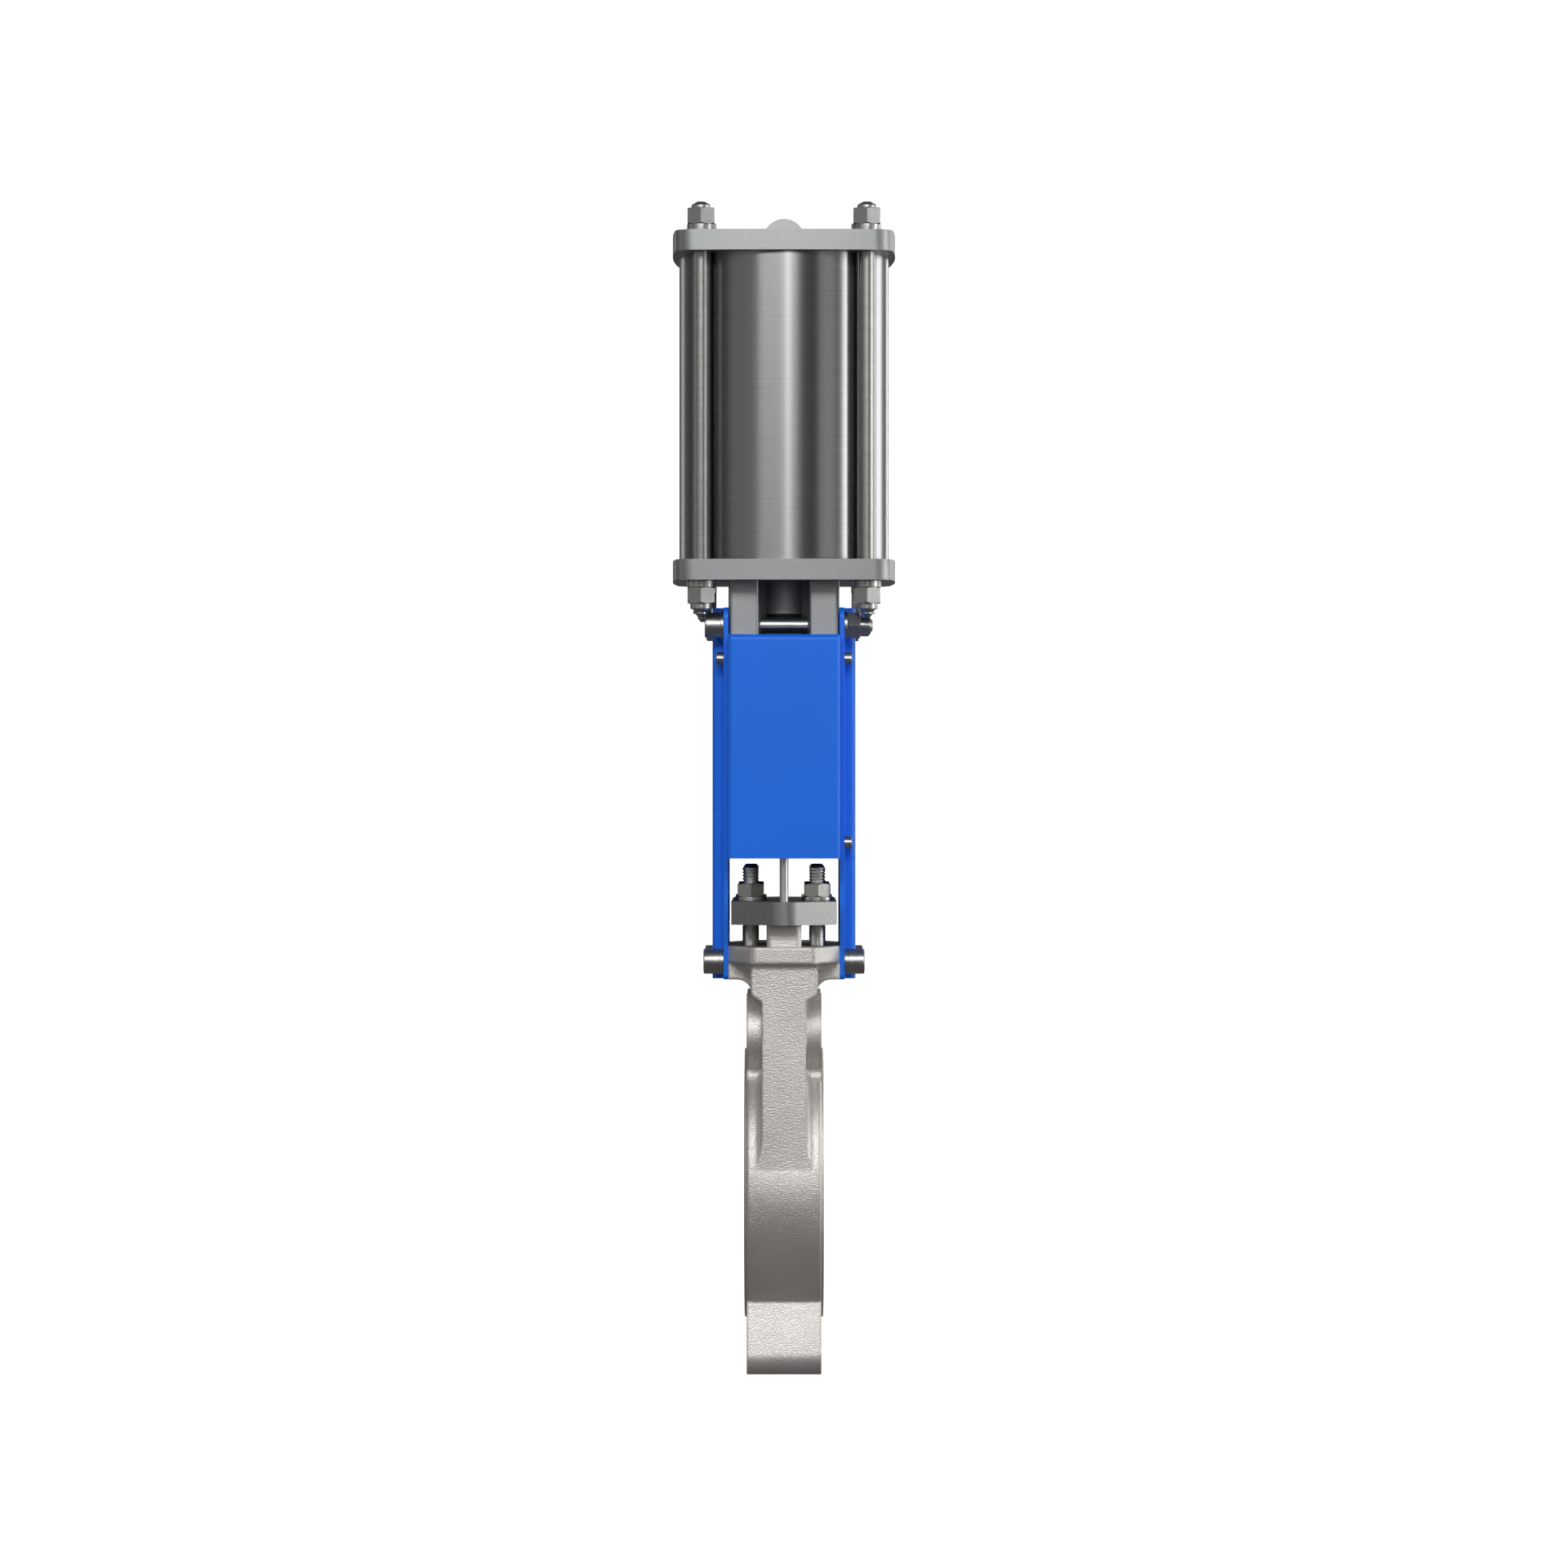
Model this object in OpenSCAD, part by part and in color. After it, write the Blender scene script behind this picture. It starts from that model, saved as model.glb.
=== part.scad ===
// Pneumatic knife gate valve, wafer pattern, with its gate drawn open.
// X is the flow direction, Z is the stroke of the gate, and the origin is the centre of the port.

/* [Port and gate] */
// Clear bore of the port
port_bore = 125; // [112:1:130]
// Length between the two raised sealing faces
face_to_face = 50; // [48:1:60]
// Thickness of the gate plate
gate_thick = 5.6; // [4.5:0.1:6]
// How far the gate reaches past the bore on each side
gate_lap = 7.5; // [6:0.5:9]
// Height of the open gate's lower edge above the bore
open_gap = 2; // [1:0.5:4]
// How far the closed gate reaches below the bore
close_lap = 4; // [3:0.5:6]
// Bevel on the lower edge of the gate
knife_bevel = 1.5; // [0.5:0.25:2]
// Free space between each face of the gate and its slot
slot_gap = 1.75; // [1.5:0.05:2.2]
// Free space between each edge of the gate and its slot
slot_side_gap = 1.5; // [1:0.1:2.5]
// Radial width of the seat ring and the guide ring
seat_width = 6; // [4:0.5:7]
// Depth of the grooves that hold the two rings
seat_groove = 4; // [3:0.5:6]

/* [Body casting] */
// Radial wall of the ring round the port
ring_wall = 25.5; // [23:0.5:30]
// Radial width of the raised sealing faces
raised_wall = 23; // [16:0.5:24]
// Height of the raised sealing faces
raised_step = 1.5; // [0.5:0.1:2]
// Wall of the neck beside the gate faces
neck_wall = 9.25; // [7:0.05:12]
// Wall of the neck beyond the gate edges
neck_end_wall = 15.5; // [12:0.5:18]
// Radius of the blend between the ring and the neck
flare_radius = 5; // [3:0.5:8]
// Rise from the top of the bore to the top of the body
neck_rise = 89.5; // [86:0.5:110]
// Height of the stuffing box up to the top of the body
box_height = 29; // [27:0.5:32]
// Wall of the stuffing box beside the packing
box_wall = 9.45; // [8.5:0.05:12]
// Height of the taper between the neck and the stuffing box
taper_height = 6; // [4:0.5:8]
// Thickness of the top flange
top_flange_thick = 10.2; // [8:0.1:12]
// Reach of the top flange past the end of the neck
top_flange_lip = 4; // [2:0.5:6]
// Length of the flange sides that the yoke is bolted to
top_flange_flat = 102; // [98:1:110]

/* [Lugs] */
// Bolt circle of the pipe flanges
bolt_circle = 210; // [206:1:216]
// Bolts on the bolt circle
bolt_count = 8; // [8]
// Tapping size of the lug holes
lug_hole = 13.8; // [12:0.1:17.4]
// Radius of the round lugs
lug_radius = 25; // [20:0.5:26]
// Solid metal left between a blind lug hole and the gate slot
lug_floor = 3; // [2:0.5:4]
// Distance from the port axis down to the flat feet
foot_drop = 118; // [114:0.5:124]
// Width of each foot at its base
foot_width = 40; // [36:1:44]
// Slope of the outer side of the feet, in degrees
foot_slope = 11; // [5:1:16]
// Corner radius of the feet
foot_radius = 12; // [6:1:14]

/* [Gland] */
// Thickness of the packing beside the gate faces
packing_section = 8; // [6:0.5:10]
// Thickness of the packing past the gate edges
packing_end = 10; // [8:0.5:12]
// Number of packing rings
packing_count = 3; // [2:1:3]
// Clearance between packing, follower and body
packing_fit = 0.1; // [0.05:0.05:0.2]
// Clearance between the gate and what it slides through
gate_fit = 0.15; // [0.1:0.05:0.3]
// Height of the follower that shows above the body
follower_show = 13.8; // [8:0.2:18]
// Thickness of the gland flange
gland_thick = 14.4; // [10:0.2:16]
// Width of the gland flange
gland_width = 66; // [62:1:67]
// Length of the gland flange between its two noses
gland_length = 194; // [190:1:198]
// Length of the gland flange's straight sides
gland_flat = 152; // [150:1:158]
// Radius of the gland flange's noses
nose_radius = 13.4; // [12:0.2:15]
// Distance between studs along the flow
stud_pitch_x = 42.2; // [41:0.2:43]
// Distance between studs across the flow
stud_pitch_y = 86; // [84:0.5:90]
// Free thread above the gland nuts
stud_show = 11.4; // [4:0.2:14]

/* [Fasteners] */
// Nominal diameter of all the bolts, studs and tie rods
bolt_dia = 10; // [10]
// Width across flats of the hex nuts
nut_flats = 16; // [16:0.5:17]
// Width across flats of the tie rod nuts
tie_nut_flats = 17; // [16:0.5:18]
// Height of the hex nuts
nut_height = 8.2; // [8:0.1:10]
// Head diameter of the socket screws
cap_dia = 16; // [15:0.5:18]
// Head height of the socket screws
cap_height = 10; // [9:0.5:11]
// Outside diameter of the washers at the yoke and the tie rods
washer_dia = 17.8; // [17:0.2:20]
// Thickness of the washers at the yoke
washer_thick = 2; // [1.5:0.1:2.6]
// Thickness of the washers under the tie rod nuts
tie_washer_thick = 4.3; // [3:0.1:5]
// Outside diameter of the washers on the gland
gland_washer_dia = 20; // [18:0.5:21]
// Thickness of the spring washers
spring_thick = 2.8; // [2:0.1:3.2]
// Clearance of a bolt in its hole
bolt_clear = 0.5; // [0.3:0.05:0.8]
// Clearance between a thread and its nut
thread_fit = 0.05; // [0.03:0.01:0.1]

/* [Yoke and guards] */
// Distance between the two yoke plates
yoke_gap = 70; // [69:0.5:74]
// Thickness of the yoke plates
yoke_thick = 3; // [2.5:0.5:4]
// Depth of the yoke plates across the flow
yoke_depth = 100; // [98:1:110]
// How far the pressed channel stands out of a plate
rib_height = 7.3; // [5:0.1:9]
// Width of the pressed channel
rib_width = 50; // [44:1:50]
// Inside bend radius of the sheet parts
bend_radius = 1; // [0.5:0.25:1.5]
// Distance between the two bolts of a row
yoke_bolt_pitch = 78; // [77:0.5:84]
// Distance from a bolt row to the end of a plate
yoke_end = 11.3; // [9:0.1:14]
// Depth of the lower bolt row below the top of the body
yoke_bolt_drop = 10; // [9:0.5:12]
// Room above the stroke between the two bolt rows
coupling_room = 80.7; // [80:0.5:90]
// Free space between the edges of the gate and the guards
guard_gap = 6.5; // [5:0.25:12]
// Thickness of the guard sheet
guard_thick = 1.5; // [1:0.25:2]
// Clearance between the guards and the plates
guard_fit = 0.25; // [0.1:0.05:0.4]
// Distance from the top bolt row down to the top of the guards
guard_drop = 6.4; // [5:0.2:10]
// Room above the stroke that the guards cover
guard_room = 9.2; // [5:0.2:12]
// Head diameter of the guard screws
guard_screw_dia = 8; // [7:0.5:9]

/* [Cylinder] */
// Inside diameter of the cylinder
cylinder_bore = 125; // [118:1:126]
// Wall of the cylinder tube
tube_wall = 4.2; // [3:0.1:4.6]
// Thickness of the two heads
head_thick = 13; // [11:0.5:16]
// Width of the square heads at their corners
head_width = 136.8; // [134:0.2:142]
// How far the sides of the heads bow outward
head_bow = 2.4; // [1.5:0.1:3]
// Corner radius of the heads
head_radius = 12.5; // [10:0.5:14]
// Distance between tie rods
tie_pitch = 104.2; // [103:0.2:105]
// Height of the heads' spigots inside the tube
spigot_height = 12; // [10:0.5:16]
// Clearance between spigot and tube
spigot_fit = 0.2; // [0.1:0.05:0.3]
// Thickness of the piston
piston_thick = 36; // [32:0.5:42]
// Free space beyond the piston at each end of the stroke
end_gap = 1.2; // [0.8:0.1:3]
// Diameter of the piston rod
rod_dia = 25; // [22:0.5:27]
// Running clearance of the rod in its bush
rod_fit = 0.05; // [0.03:0.01:0.1]
// Distance from the top bolt row up to the lower head
leg_drop = 27.9; // [26:0.1:34]
// Diameter of the rod guide
guide_dia = 44; // [42:0.5:48]
// Length of the rod guide below the head
guide_length = 21.9; // [16:0.1:22]
// Radius of the air port bosses
port_boss_radius = 13.5; // [11:0.5:14]
// Tapping size of the air ports
air_port = 11.44; // [8:0.01:12]

/* [Coupling] */
// Width of the clevis along the flow
clevis_width = 28; // [24:1:30]
// Depth of the clevis across the flow
clevis_depth = 40; // [38:1:42]
// Height of the clevis
clevis_height = 34; // [33:0.5:36]
// Space between the closed clevis and the gland
clevis_gap = 5; // [4.5:0.5:10]
// Distance between the two clevis bolts
clevis_pitch = 20; // [19:0.5:22]
// Diameter of the thread on both ends of the rod
rod_thread = 16; // [14:1:18]

/* [Hidden] */
$fn = 72;

cast_steel = "#b7b3ad";
cast_aluminium = "#a9abad";
yoke_blue = "#2266d6";
bright_steel = "#c6c8ca";
machined_steel = "#9a9c9e";
black_rubber = "#2b2b2d";
pale_packing = "#d9d4c4";
bronze = "#b08a4a";

bore_r = port_bore / 2;
ring_r = bore_r + ring_wall;
raised_r = bore_r + raised_wall;
body_half = face_to_face / 2 - raised_step;
gate_half = bore_r + gate_lap;
stroke = port_bore + open_gap + close_lap;
gate_bottom = bore_r + open_gap;
gate_centre = gate_bottom + gate_half;
slot_half = gate_thick / 2 + slot_gap;
slot_r = gate_half + slot_side_gap;
slot_centre = gate_centre - stroke;
seat_fit = 0.05;
neck_half = slot_half + neck_wall;
neck_end = slot_r + neck_end_wall;
cast_edge = 2;

body_top = bore_r + neck_rise;
box_bottom = body_top - box_height;
chamber_half = gate_thick / 2 + gate_fit + packing_section + packing_fit;
chamber_end = gate_half + gate_fit + packing_end + packing_fit;
box_half = chamber_half + box_wall;
chamber_radius = 4;
packing_height = 8;
follower_seat = 8;
chamber_floor = body_top - follower_seat - packing_count * packing_height;
packing_top = chamber_floor + packing_count * packing_height;
top_flange_under = body_top - top_flange_thick;
top_flange_end = neck_end + top_flange_lip;
yoke_half = yoke_gap / 2;
stud_x = stud_pitch_x / 2;
stud_y = stud_pitch_y / 2;
stud_boss_r = 7.8;
stud_boss_drop = 5.3;
stud_depth = 14;
stud_floor = body_top - stud_depth;

lug_angle = 180 / bolt_count;
lug_y = bolt_circle / 2 * sin(lug_angle);
lug_z = bolt_circle / 2 * cos(lug_angle);
lug_blend = 6;
foot_inner = lug_y - foot_width / 2;
foot_outer = lug_y + foot_width / 2;

gland_bottom = body_top + follower_show;
gland_top = gland_bottom + gland_thick;
bolt_r = bolt_dia / 2;
hole_r = bolt_r + bolt_clear;
gland_washer_thick = 2.6;
nut_seat = gland_top + gland_washer_thick;
stud_top = nut_seat + nut_height + stud_show;
gland_nut_turn = 32;
gland_corner = 1;
thread_bevel = 1.6;
cap_key = 8;

yoke_bolt_y = yoke_bolt_pitch / 2;
yoke_low = body_top - yoke_bolt_drop;
yoke_high = yoke_low + stroke + coupling_room;
yoke_bottom = yoke_low - yoke_end;
yoke_top = yoke_high + yoke_end;
yoke_face = yoke_half + yoke_thick;
plate_top_radius = 7;
plate_low_radius = 3;
yoke_boss_half = 11;
yoke_boss_blend = 9;
screw_engaged = 7.5;
head_bolt_show = 7.7;

guard_top = yoke_high - guard_drop;
guard_bottom = guard_top - stroke - guard_room;
guard_half = yoke_half - guard_fit;
guard_face = gate_half + guard_gap + guard_thick;
guard_lap = 18;
guard_inner = yoke_depth / 2 - guard_lap;
guard_fold = 2;
guard_screw_edge = 10;
guard_screw_y = yoke_depth / 2 - guard_screw_edge;
guard_screw_rise = 9.6;
guard_screw_drop = 14.6;
guard_screw_low = guard_bottom + guard_screw_rise;
guard_screw_high = guard_top - guard_screw_drop;
guard_head_height = 4.8;
guard_key = 3;
guard_shank = 2.5;
guard_nut_dia = 8;
guard_nut_height = 4;

head_low = yoke_high + leg_drop;
tube_low = head_low + head_thick;
tube_length = stroke + piston_thick + 2 * spigot_height + 2 * end_gap;
tube_high = tube_low + tube_length;
head_high = tube_high + head_thick;
tube_r = cylinder_bore / 2;
tube_outer = tube_r + tube_wall;
spigot_r = tube_r - spigot_fit;
head_half = head_width / 2;
port_lip = 0.5;
port_face = head_half + head_bow + port_lip;
port_depth = 20;
feed_r = 3;
feed_y = port_face - port_depth + feed_r + 1;
tie_at = tie_pitch / 2;
o_ring_section = 3;
o_ring_nip = 0.1;
tie_nut_height = 10.2;
tie_nut_turn = 30;
tie_top_show = 4.1;
tie_low_show = 8.8;
tie_top_collar = [6.1, 2.6, 0.8];
tie_low_collar = [6.7, 3.6, 0.4];
tie_top_seat = head_high + tie_washer_thick;
tie_low_seat = head_low - tie_washer_thick;
tie_top = tie_top_seat + tie_nut_height + tie_top_show;
tie_low = tie_low_seat - tie_nut_height - tie_low_show;

leg_end = 12.7;
leg_bottom = yoke_high - leg_end;
leg_half_depth = yoke_depth / 2;
leg_inner_end = 16.2;
leg_inner_deep = 11;
leg_deep_y = 27;
pocket_r = 26;
rod_r = rod_dia / 2;
rod_hole_r = rod_r + 0.5;
bush_wall = 3;
bush_r = rod_r + rod_fit + bush_wall;
bush_length = 18;
bush_drop = 8;
bush_low = head_low - bush_drop;
wiper_wall = 5;
wiper_r = rod_r + wiper_wall;
wiper_height = 6;
seal_wall = 6;
seal_r = rod_r + seal_wall;
seal_height = 6;
guide_bottom = head_low - guide_length;
guide_bevel = 2;
seal_rise = 3;
seal_low = tube_low + seal_rise;

clevis_bottom = gland_top + stroke + clevis_gap;
clevis_top = clevis_bottom + clevis_height;
clevis_slot = 22;
clevis_slot_top = clevis_bottom + clevis_slot;
clevis_bolt_z = clevis_bottom + clevis_slot / 2;
clevis_bolt_head = 6.4;
clevis_radius = 3;
shoulder_gap = 3;
gate_shoulder = clevis_bottom - shoulder_gap;
tab_gap = 0.3;
gate_top = clevis_slot_top - tab_gap;
tab_half = 17;
thread_r = rod_thread / 2;

piston_top = tube_high - spigot_height - end_gap;
piston_bottom = piston_top - piston_thick;
piston_r = tube_r - 0.4;
seal_fit = 0.05;
piston_seal_wall = 5;
piston_seal_height = 4;
piston_land = 4;
wear_wall = 2.4;
wear_height = 8;
piston_recess = 15;
piston_nut_flats = 24;
piston_nut_height = 12;

function before(p, i) = p[(i + len(p) - 1) % len(p)];
function after(p, i) = p[(i + 1) % len(p)];
function toward(a, b) = (b - a) / norm(b - a);
function half_angle(p, i) = acos(toward(p[i], before(p, i)) * toward(p[i], after(p, i))) / 2;
function leave(p, i, r) = p[i] + toward(p[i], before(p, i)) * r / tan(half_angle(p, i));
function bisector(p, i) = toward(p[i], before(p, i)) + toward(p[i], after(p, i));
function arc_centre(p, i, r) =
    p[i] + bisector(p, i) / norm(bisector(p, i)) * r / sin(half_angle(p, i));
function side_of(p, i) =
    let (a = p[i] - before(p, i), b = after(p, i) - p[i]) sign(a[0] * b[1] - a[1] * b[0]);
function spun(v, a) = [v[0] * cos(a) - v[1] * sin(a), v[0] * sin(a) + v[1] * cos(a)];

// The points of an arc from the point start round the centre c.
function arc(c, start, angle, steps) =
    [for (k = [0:steps]) c + spun(start - c, angle * k / steps)];
function corner_arc(p, i, r) =
    arc(arc_centre(p, i, r), leave(p, i, r), side_of(p, i) * (180 - 2 * half_angle(p, i)), 6);
function rounded(p, r) = [for (i = [0:len(p) - 1]) each r[i] > 0 ? corner_arc(p, i, r[i]) : [p[i]]];

// A closed outline, drawn anticlockwise, whose corner i has the radius r[i].
module rounded_outline(p, r) {
    polygon(rounded(p, r));
}

module rounded_box(half_x, half_y, r) {
    p = [[-half_x, -half_y], [half_x, -half_y], [half_x, half_y], [-half_x, half_y]];
    rounded_outline(p, [r, r, r, r]);
}

module both_x() {
    children();
    mirror([1, 0, 0]) children();
}

module both_y() {
    children();
    mirror([0, 1, 0]) children();
}

module four_corners(x, y) {
    for (sx = [-1, 1], sy = [-1, 1])
        translate([sx * x, sy * y, 0]) children();
}

// Turns an outline drawn in Y and Z into a solid of the given width, centred on X.
module across_flow(width) {
    rotate([90, 0, 90]) linear_extrude(width, center = true) children();
}

// Turns an outline drawn in X and Z into a solid from y0 to y1.
module along_depth(y0, y1) {
    translate([0, y1, 0]) rotate([90, 0, 0]) linear_extrude(y1 - y0) children();
}

// A cylinder on the X axis between two values of X.
module rod_x(x0, x1, r) {
    translate([x0, 0, 0]) rotate([0, 90, 0]) cylinder(h = x1 - x0, r = r);
}

// A turned ring between two heights.
module ring(z0, z1, inner, outer) {
    translate([0, 0, z0]) difference() {
        cylinder(h = z1 - z0, r = outer);
        translate([0, 0, -1]) cylinder(h = z1 - z0 + 2, r = inner);
    }
}

// A turned body with a bevel at each end.
module bevelled_rod(z0, z1, r, low_bevel, high_bevel) {
    rotate_extrude() polygon([
        [0, z0],
        [r - low_bevel, z0],
        if (low_bevel > 0) [r, z0 + low_bevel],
        if (high_bevel > 0) [r, z1 - high_bevel],
        [r - high_bevel, z1],
        [0, z1]
    ]);
}

module hex_nut(flats, height, inner) {
    corner_r = flats / sqrt(3);
    bevel = (corner_r - flats / 2) * tan(30);
    difference() {
        intersection() {
            cylinder(h = height, r = corner_r, $fn = 6);
            rotate_extrude() polygon([
                [0, 0],
                [flats / 2, 0],
                [corner_r + 0.1, bevel + 0.1],
                [corner_r + 0.1, height - bevel - 0.1],
                [flats / 2, height],
                [0, height]
            ]);
        }
        translate([0, 0, -1]) cylinder(h = height + 2, r = inner);
    }
}

// A socket head screw along Z, with the underside of its head at zero and its shank below.
module socket_screw(shank_r, length, head_r, head_height, key_flats) {
    key_depth = head_height / 2;
    bevelled_rod(-length, 0.01, shank_r, 0.36 * shank_r, 0);
    difference() {
        bevelled_rod(0, head_height, head_r, 0, head_r / 10);
        translate([0, 0, head_height - key_depth])
            cylinder(h = key_depth + 1, r = key_flats / sqrt(3), $fn = 6);
    }
}

module flat_washer() {
    ring(0, washer_thick, hole_r, washer_dia / 2);
}

// A split ring washer.
module spring_washer() {
    slit = 1;
    difference() {
        ring(0, spring_thick, bolt_r + 0.2, cap_dia / 2);
        rotate([0, 0, 200]) translate([0, -slit / 2, -1])
            cube([cap_dia, slit, spring_thick + 2]);
    }
}

module on_right() {
    rotate([0, 90, 0]) children();
}

module body_ring() {
    on_right() rotate_extrude() rounded_outline(
        [[0, -body_half], [ring_r, -body_half], [ring_r, body_half], [0, body_half]],
        [0, cast_edge, cast_edge, 0]
    );
    face_bevel = 0.6;
    raised_half = face_to_face / 2;
    on_right() bevelled_rod(-raised_half, raised_half, raised_r, face_bevel, face_bevel);
}

// The concave blend between the ring and the flat sides of the neck.
module neck_flare() {
    flare_edge = ring_r + flare_radius;
    intersection() {
        both_x() on_right() rotate_extrude() difference() {
            translate([ring_r - cast_edge, neck_half - 1])
                square([flare_radius + cast_edge, flare_radius + 1]);
            translate([flare_edge, neck_half + flare_radius]) circle(flare_radius);
        }
        translate([-body_half, -neck_end, 0]) cube([2 * body_half, 2 * neck_end, flare_edge]);
    }
}

module neck_and_box() {
    steps = 8;
    taper_bottom = box_bottom - taper_height;
    ease = [for (i = [0:steps]) (1 - cos(180 * i / steps)) / 2];
    side = [
        for (i = [0:steps])
            [neck_half + (box_half - neck_half) * ease[i], taper_bottom + taper_height * i / steps]
    ];
    other_side = [for (i = [0:steps]) [-side[steps - i][0], side[steps - i][1]]];
    along_depth(-neck_end, neck_end) polygon(concat(
        [[-neck_half, 0], [neck_half, 0]],
        side,
        [[box_half, body_top - 1], [-box_half, body_top - 1]],
        other_side
    ));
}

module top_flange() {
    flat = top_flange_flat / 2;
    end_r = 6;
    side_r = 4;
    translate([0, 0, top_flange_under]) linear_extrude(top_flange_thick) rounded_outline(
        [
            [box_half, -top_flange_end], [yoke_half, -flat], [yoke_half, flat],
            [box_half, top_flange_end], [-box_half, top_flange_end], [-yoke_half, flat],
            [-yoke_half, -flat], [-box_half, -top_flange_end]
        ],
        [end_r, side_r, side_r, end_r, end_r, side_r, side_r, end_r]
    );
    both_y() across_flow(2 * box_half) difference() {
        translate([neck_end - 0.1, top_flange_under - top_flange_lip])
            square([top_flange_lip + 0.1, top_flange_lip + 0.1]);
        translate([top_flange_end, top_flange_under - top_flange_lip]) circle(top_flange_lip);
    }
}

// The bosses that the yoke screws go into, with their blends to the stuffing box.
module yoke_bosses() {
    inner = yoke_bolt_y - yoke_boss_half;
    outer = yoke_bolt_y + yoke_boss_half;
    both_x() both_y() along_depth(inner, outer) {
        translate([box_half - 1, yoke_bottom])
            square([yoke_half - box_half + 1, top_flange_under - yoke_bottom + 0.5]);
        difference() {
            translate([box_half - 1, yoke_bottom - yoke_boss_blend])
                square([yoke_boss_blend + 1, yoke_boss_blend + 1]);
            translate([box_half + yoke_boss_blend, yoke_bottom - yoke_boss_blend])
                circle(yoke_boss_blend);
        }
    }
}

module stud_bosses() {
    four_corners(stud_x, stud_y)
        translate([0, 0, top_flange_under - stud_boss_drop])
            cylinder(h = stud_boss_drop + 1, r = stud_boss_r);
}

// The centre of a circle that lies rc from the point c and rd from the origin.
function touch(c, rc, rd) =
    let (d = norm(c), a = (rd * rd - rc * rc + d * d) / (2 * d), h = sqrt(rd * rd - a * a))
        c / d * a + [c[1], -c[0]] / d * h;

// The round lugs above the port, each with a concave blend to the ring on its outer side.
module upper_lugs() {
    centre = [lug_y, lug_z];
    blend = touch(centre, lug_radius + lug_blend, ring_r + lug_blend);
    lug_touch = centre + (blend - centre) * lug_radius / (lug_radius + lug_blend);
    to_ring = atan2(-blend[1], -blend[0]);
    to_lug = atan2(lug_touch[1] - blend[1], lug_touch[0] - blend[0]);
    sweep = (to_lug - to_ring - 360) % 360;
    from_lug = atan2(lug_touch[1] - centre[1], lug_touch[0] - centre[0]);
    ring_touch = blend * ring_r / (ring_r + lug_blend);
    both_y() across_flow(2 * body_half) polygon(concat(
        [[foot_inner, ring_r / 2], ring_touch * 0.9],
        arc(blend, ring_touch, sweep, 6),
        arc(centre, lug_touch, 180 - from_lug, 20),
        [[foot_inner, lug_z]]
    ));
}

module feet() {
    rise = foot_drop - ring_r / 2;
    outer_top = foot_outer - rise * tan(foot_slope);
    both_y() across_flow(2 * body_half) rounded_outline(
        [
            [foot_inner, -foot_drop], [foot_outer, -foot_drop],
            [outer_top, -ring_r / 2], [foot_inner, -ring_r / 2]
        ],
        [foot_radius / 2, foot_radius, 0, 0]
    );
}

module gate_slot() {
    across_flow(2 * slot_half) {
        translate([0, slot_centre]) circle(slot_r);
        translate([-slot_r, slot_centre]) square([2 * slot_r, chamber_floor - slot_centre + 1]);
    }
    translate([0, 0, chamber_floor]) linear_extrude(body_top - chamber_floor + 1)
        rounded_box(chamber_half, chamber_end, chamber_radius);
}

module body() {
    groove_r = bore_r + seat_width + seat_fit;
    groove_end = slot_half + seat_groove + seat_fit;
    blind = slot_half + lug_floor;
    screw_end = yoke_half - screw_engaged - 0.5;
    color(cast_steel) difference() {
        union() {
            body_ring();
            neck_flare();
            neck_and_box();
            top_flange();
            yoke_bosses();
            stud_bosses();
            upper_lugs();
            feet();
        }
        gate_slot();
        rod_x(-face_to_face, face_to_face, bore_r);
        rod_x(-groove_end, groove_end, groove_r);
        both_x() both_y() {
            translate([0, lug_y, lug_z]) rod_x(blind, face_to_face, lug_hole / 2);
            translate([0, lug_y, -lug_z]) rod_x(-1, face_to_face, lug_hole / 2);
            translate([0, yoke_bolt_y, yoke_low])
                rod_x(screw_end, yoke_half + 1, bolt_r + thread_fit);
        }
        four_corners(stud_x, stud_y) translate([0, 0, stud_floor - 0.5])
            cylinder(h = body_top, r = bolt_r + thread_fit);
    }
}

// One ring beside the gate, seated in its groove in the body.
module port_ring() {
    on_right() ring(
        gate_thick / 2 + seat_fit, slot_half + seat_groove, bore_r, bore_r + seat_width
    );
}

module seat_ring() {
    color(black_rubber) port_ring();
}

module guide_ring() {
    color(bronze) mirror([1, 0, 0]) port_ring();
}

// A block round the gate that fills the stuffing box from z0 to z1.
module gland_block(z0, z1, gap) {
    translate([0, 0, z0]) linear_extrude(z1 - z0) difference() {
        rounded_box(chamber_half - packing_fit, chamber_end - packing_fit, chamber_radius);
        square([gate_thick + 2 * gap, 2 * (gate_half + gap)], center = true);
    }
}

module packing_rings() {
    color(pale_packing) for (i = [0:packing_count - 1])
        gland_block(
            chamber_floor + i * packing_height,
            chamber_floor + (i + 1) * packing_height,
            seat_fit
        );
}

module gland_follower() {
    color(cast_steel) gland_block(packing_top, gland_bottom, gate_fit);
}

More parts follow.
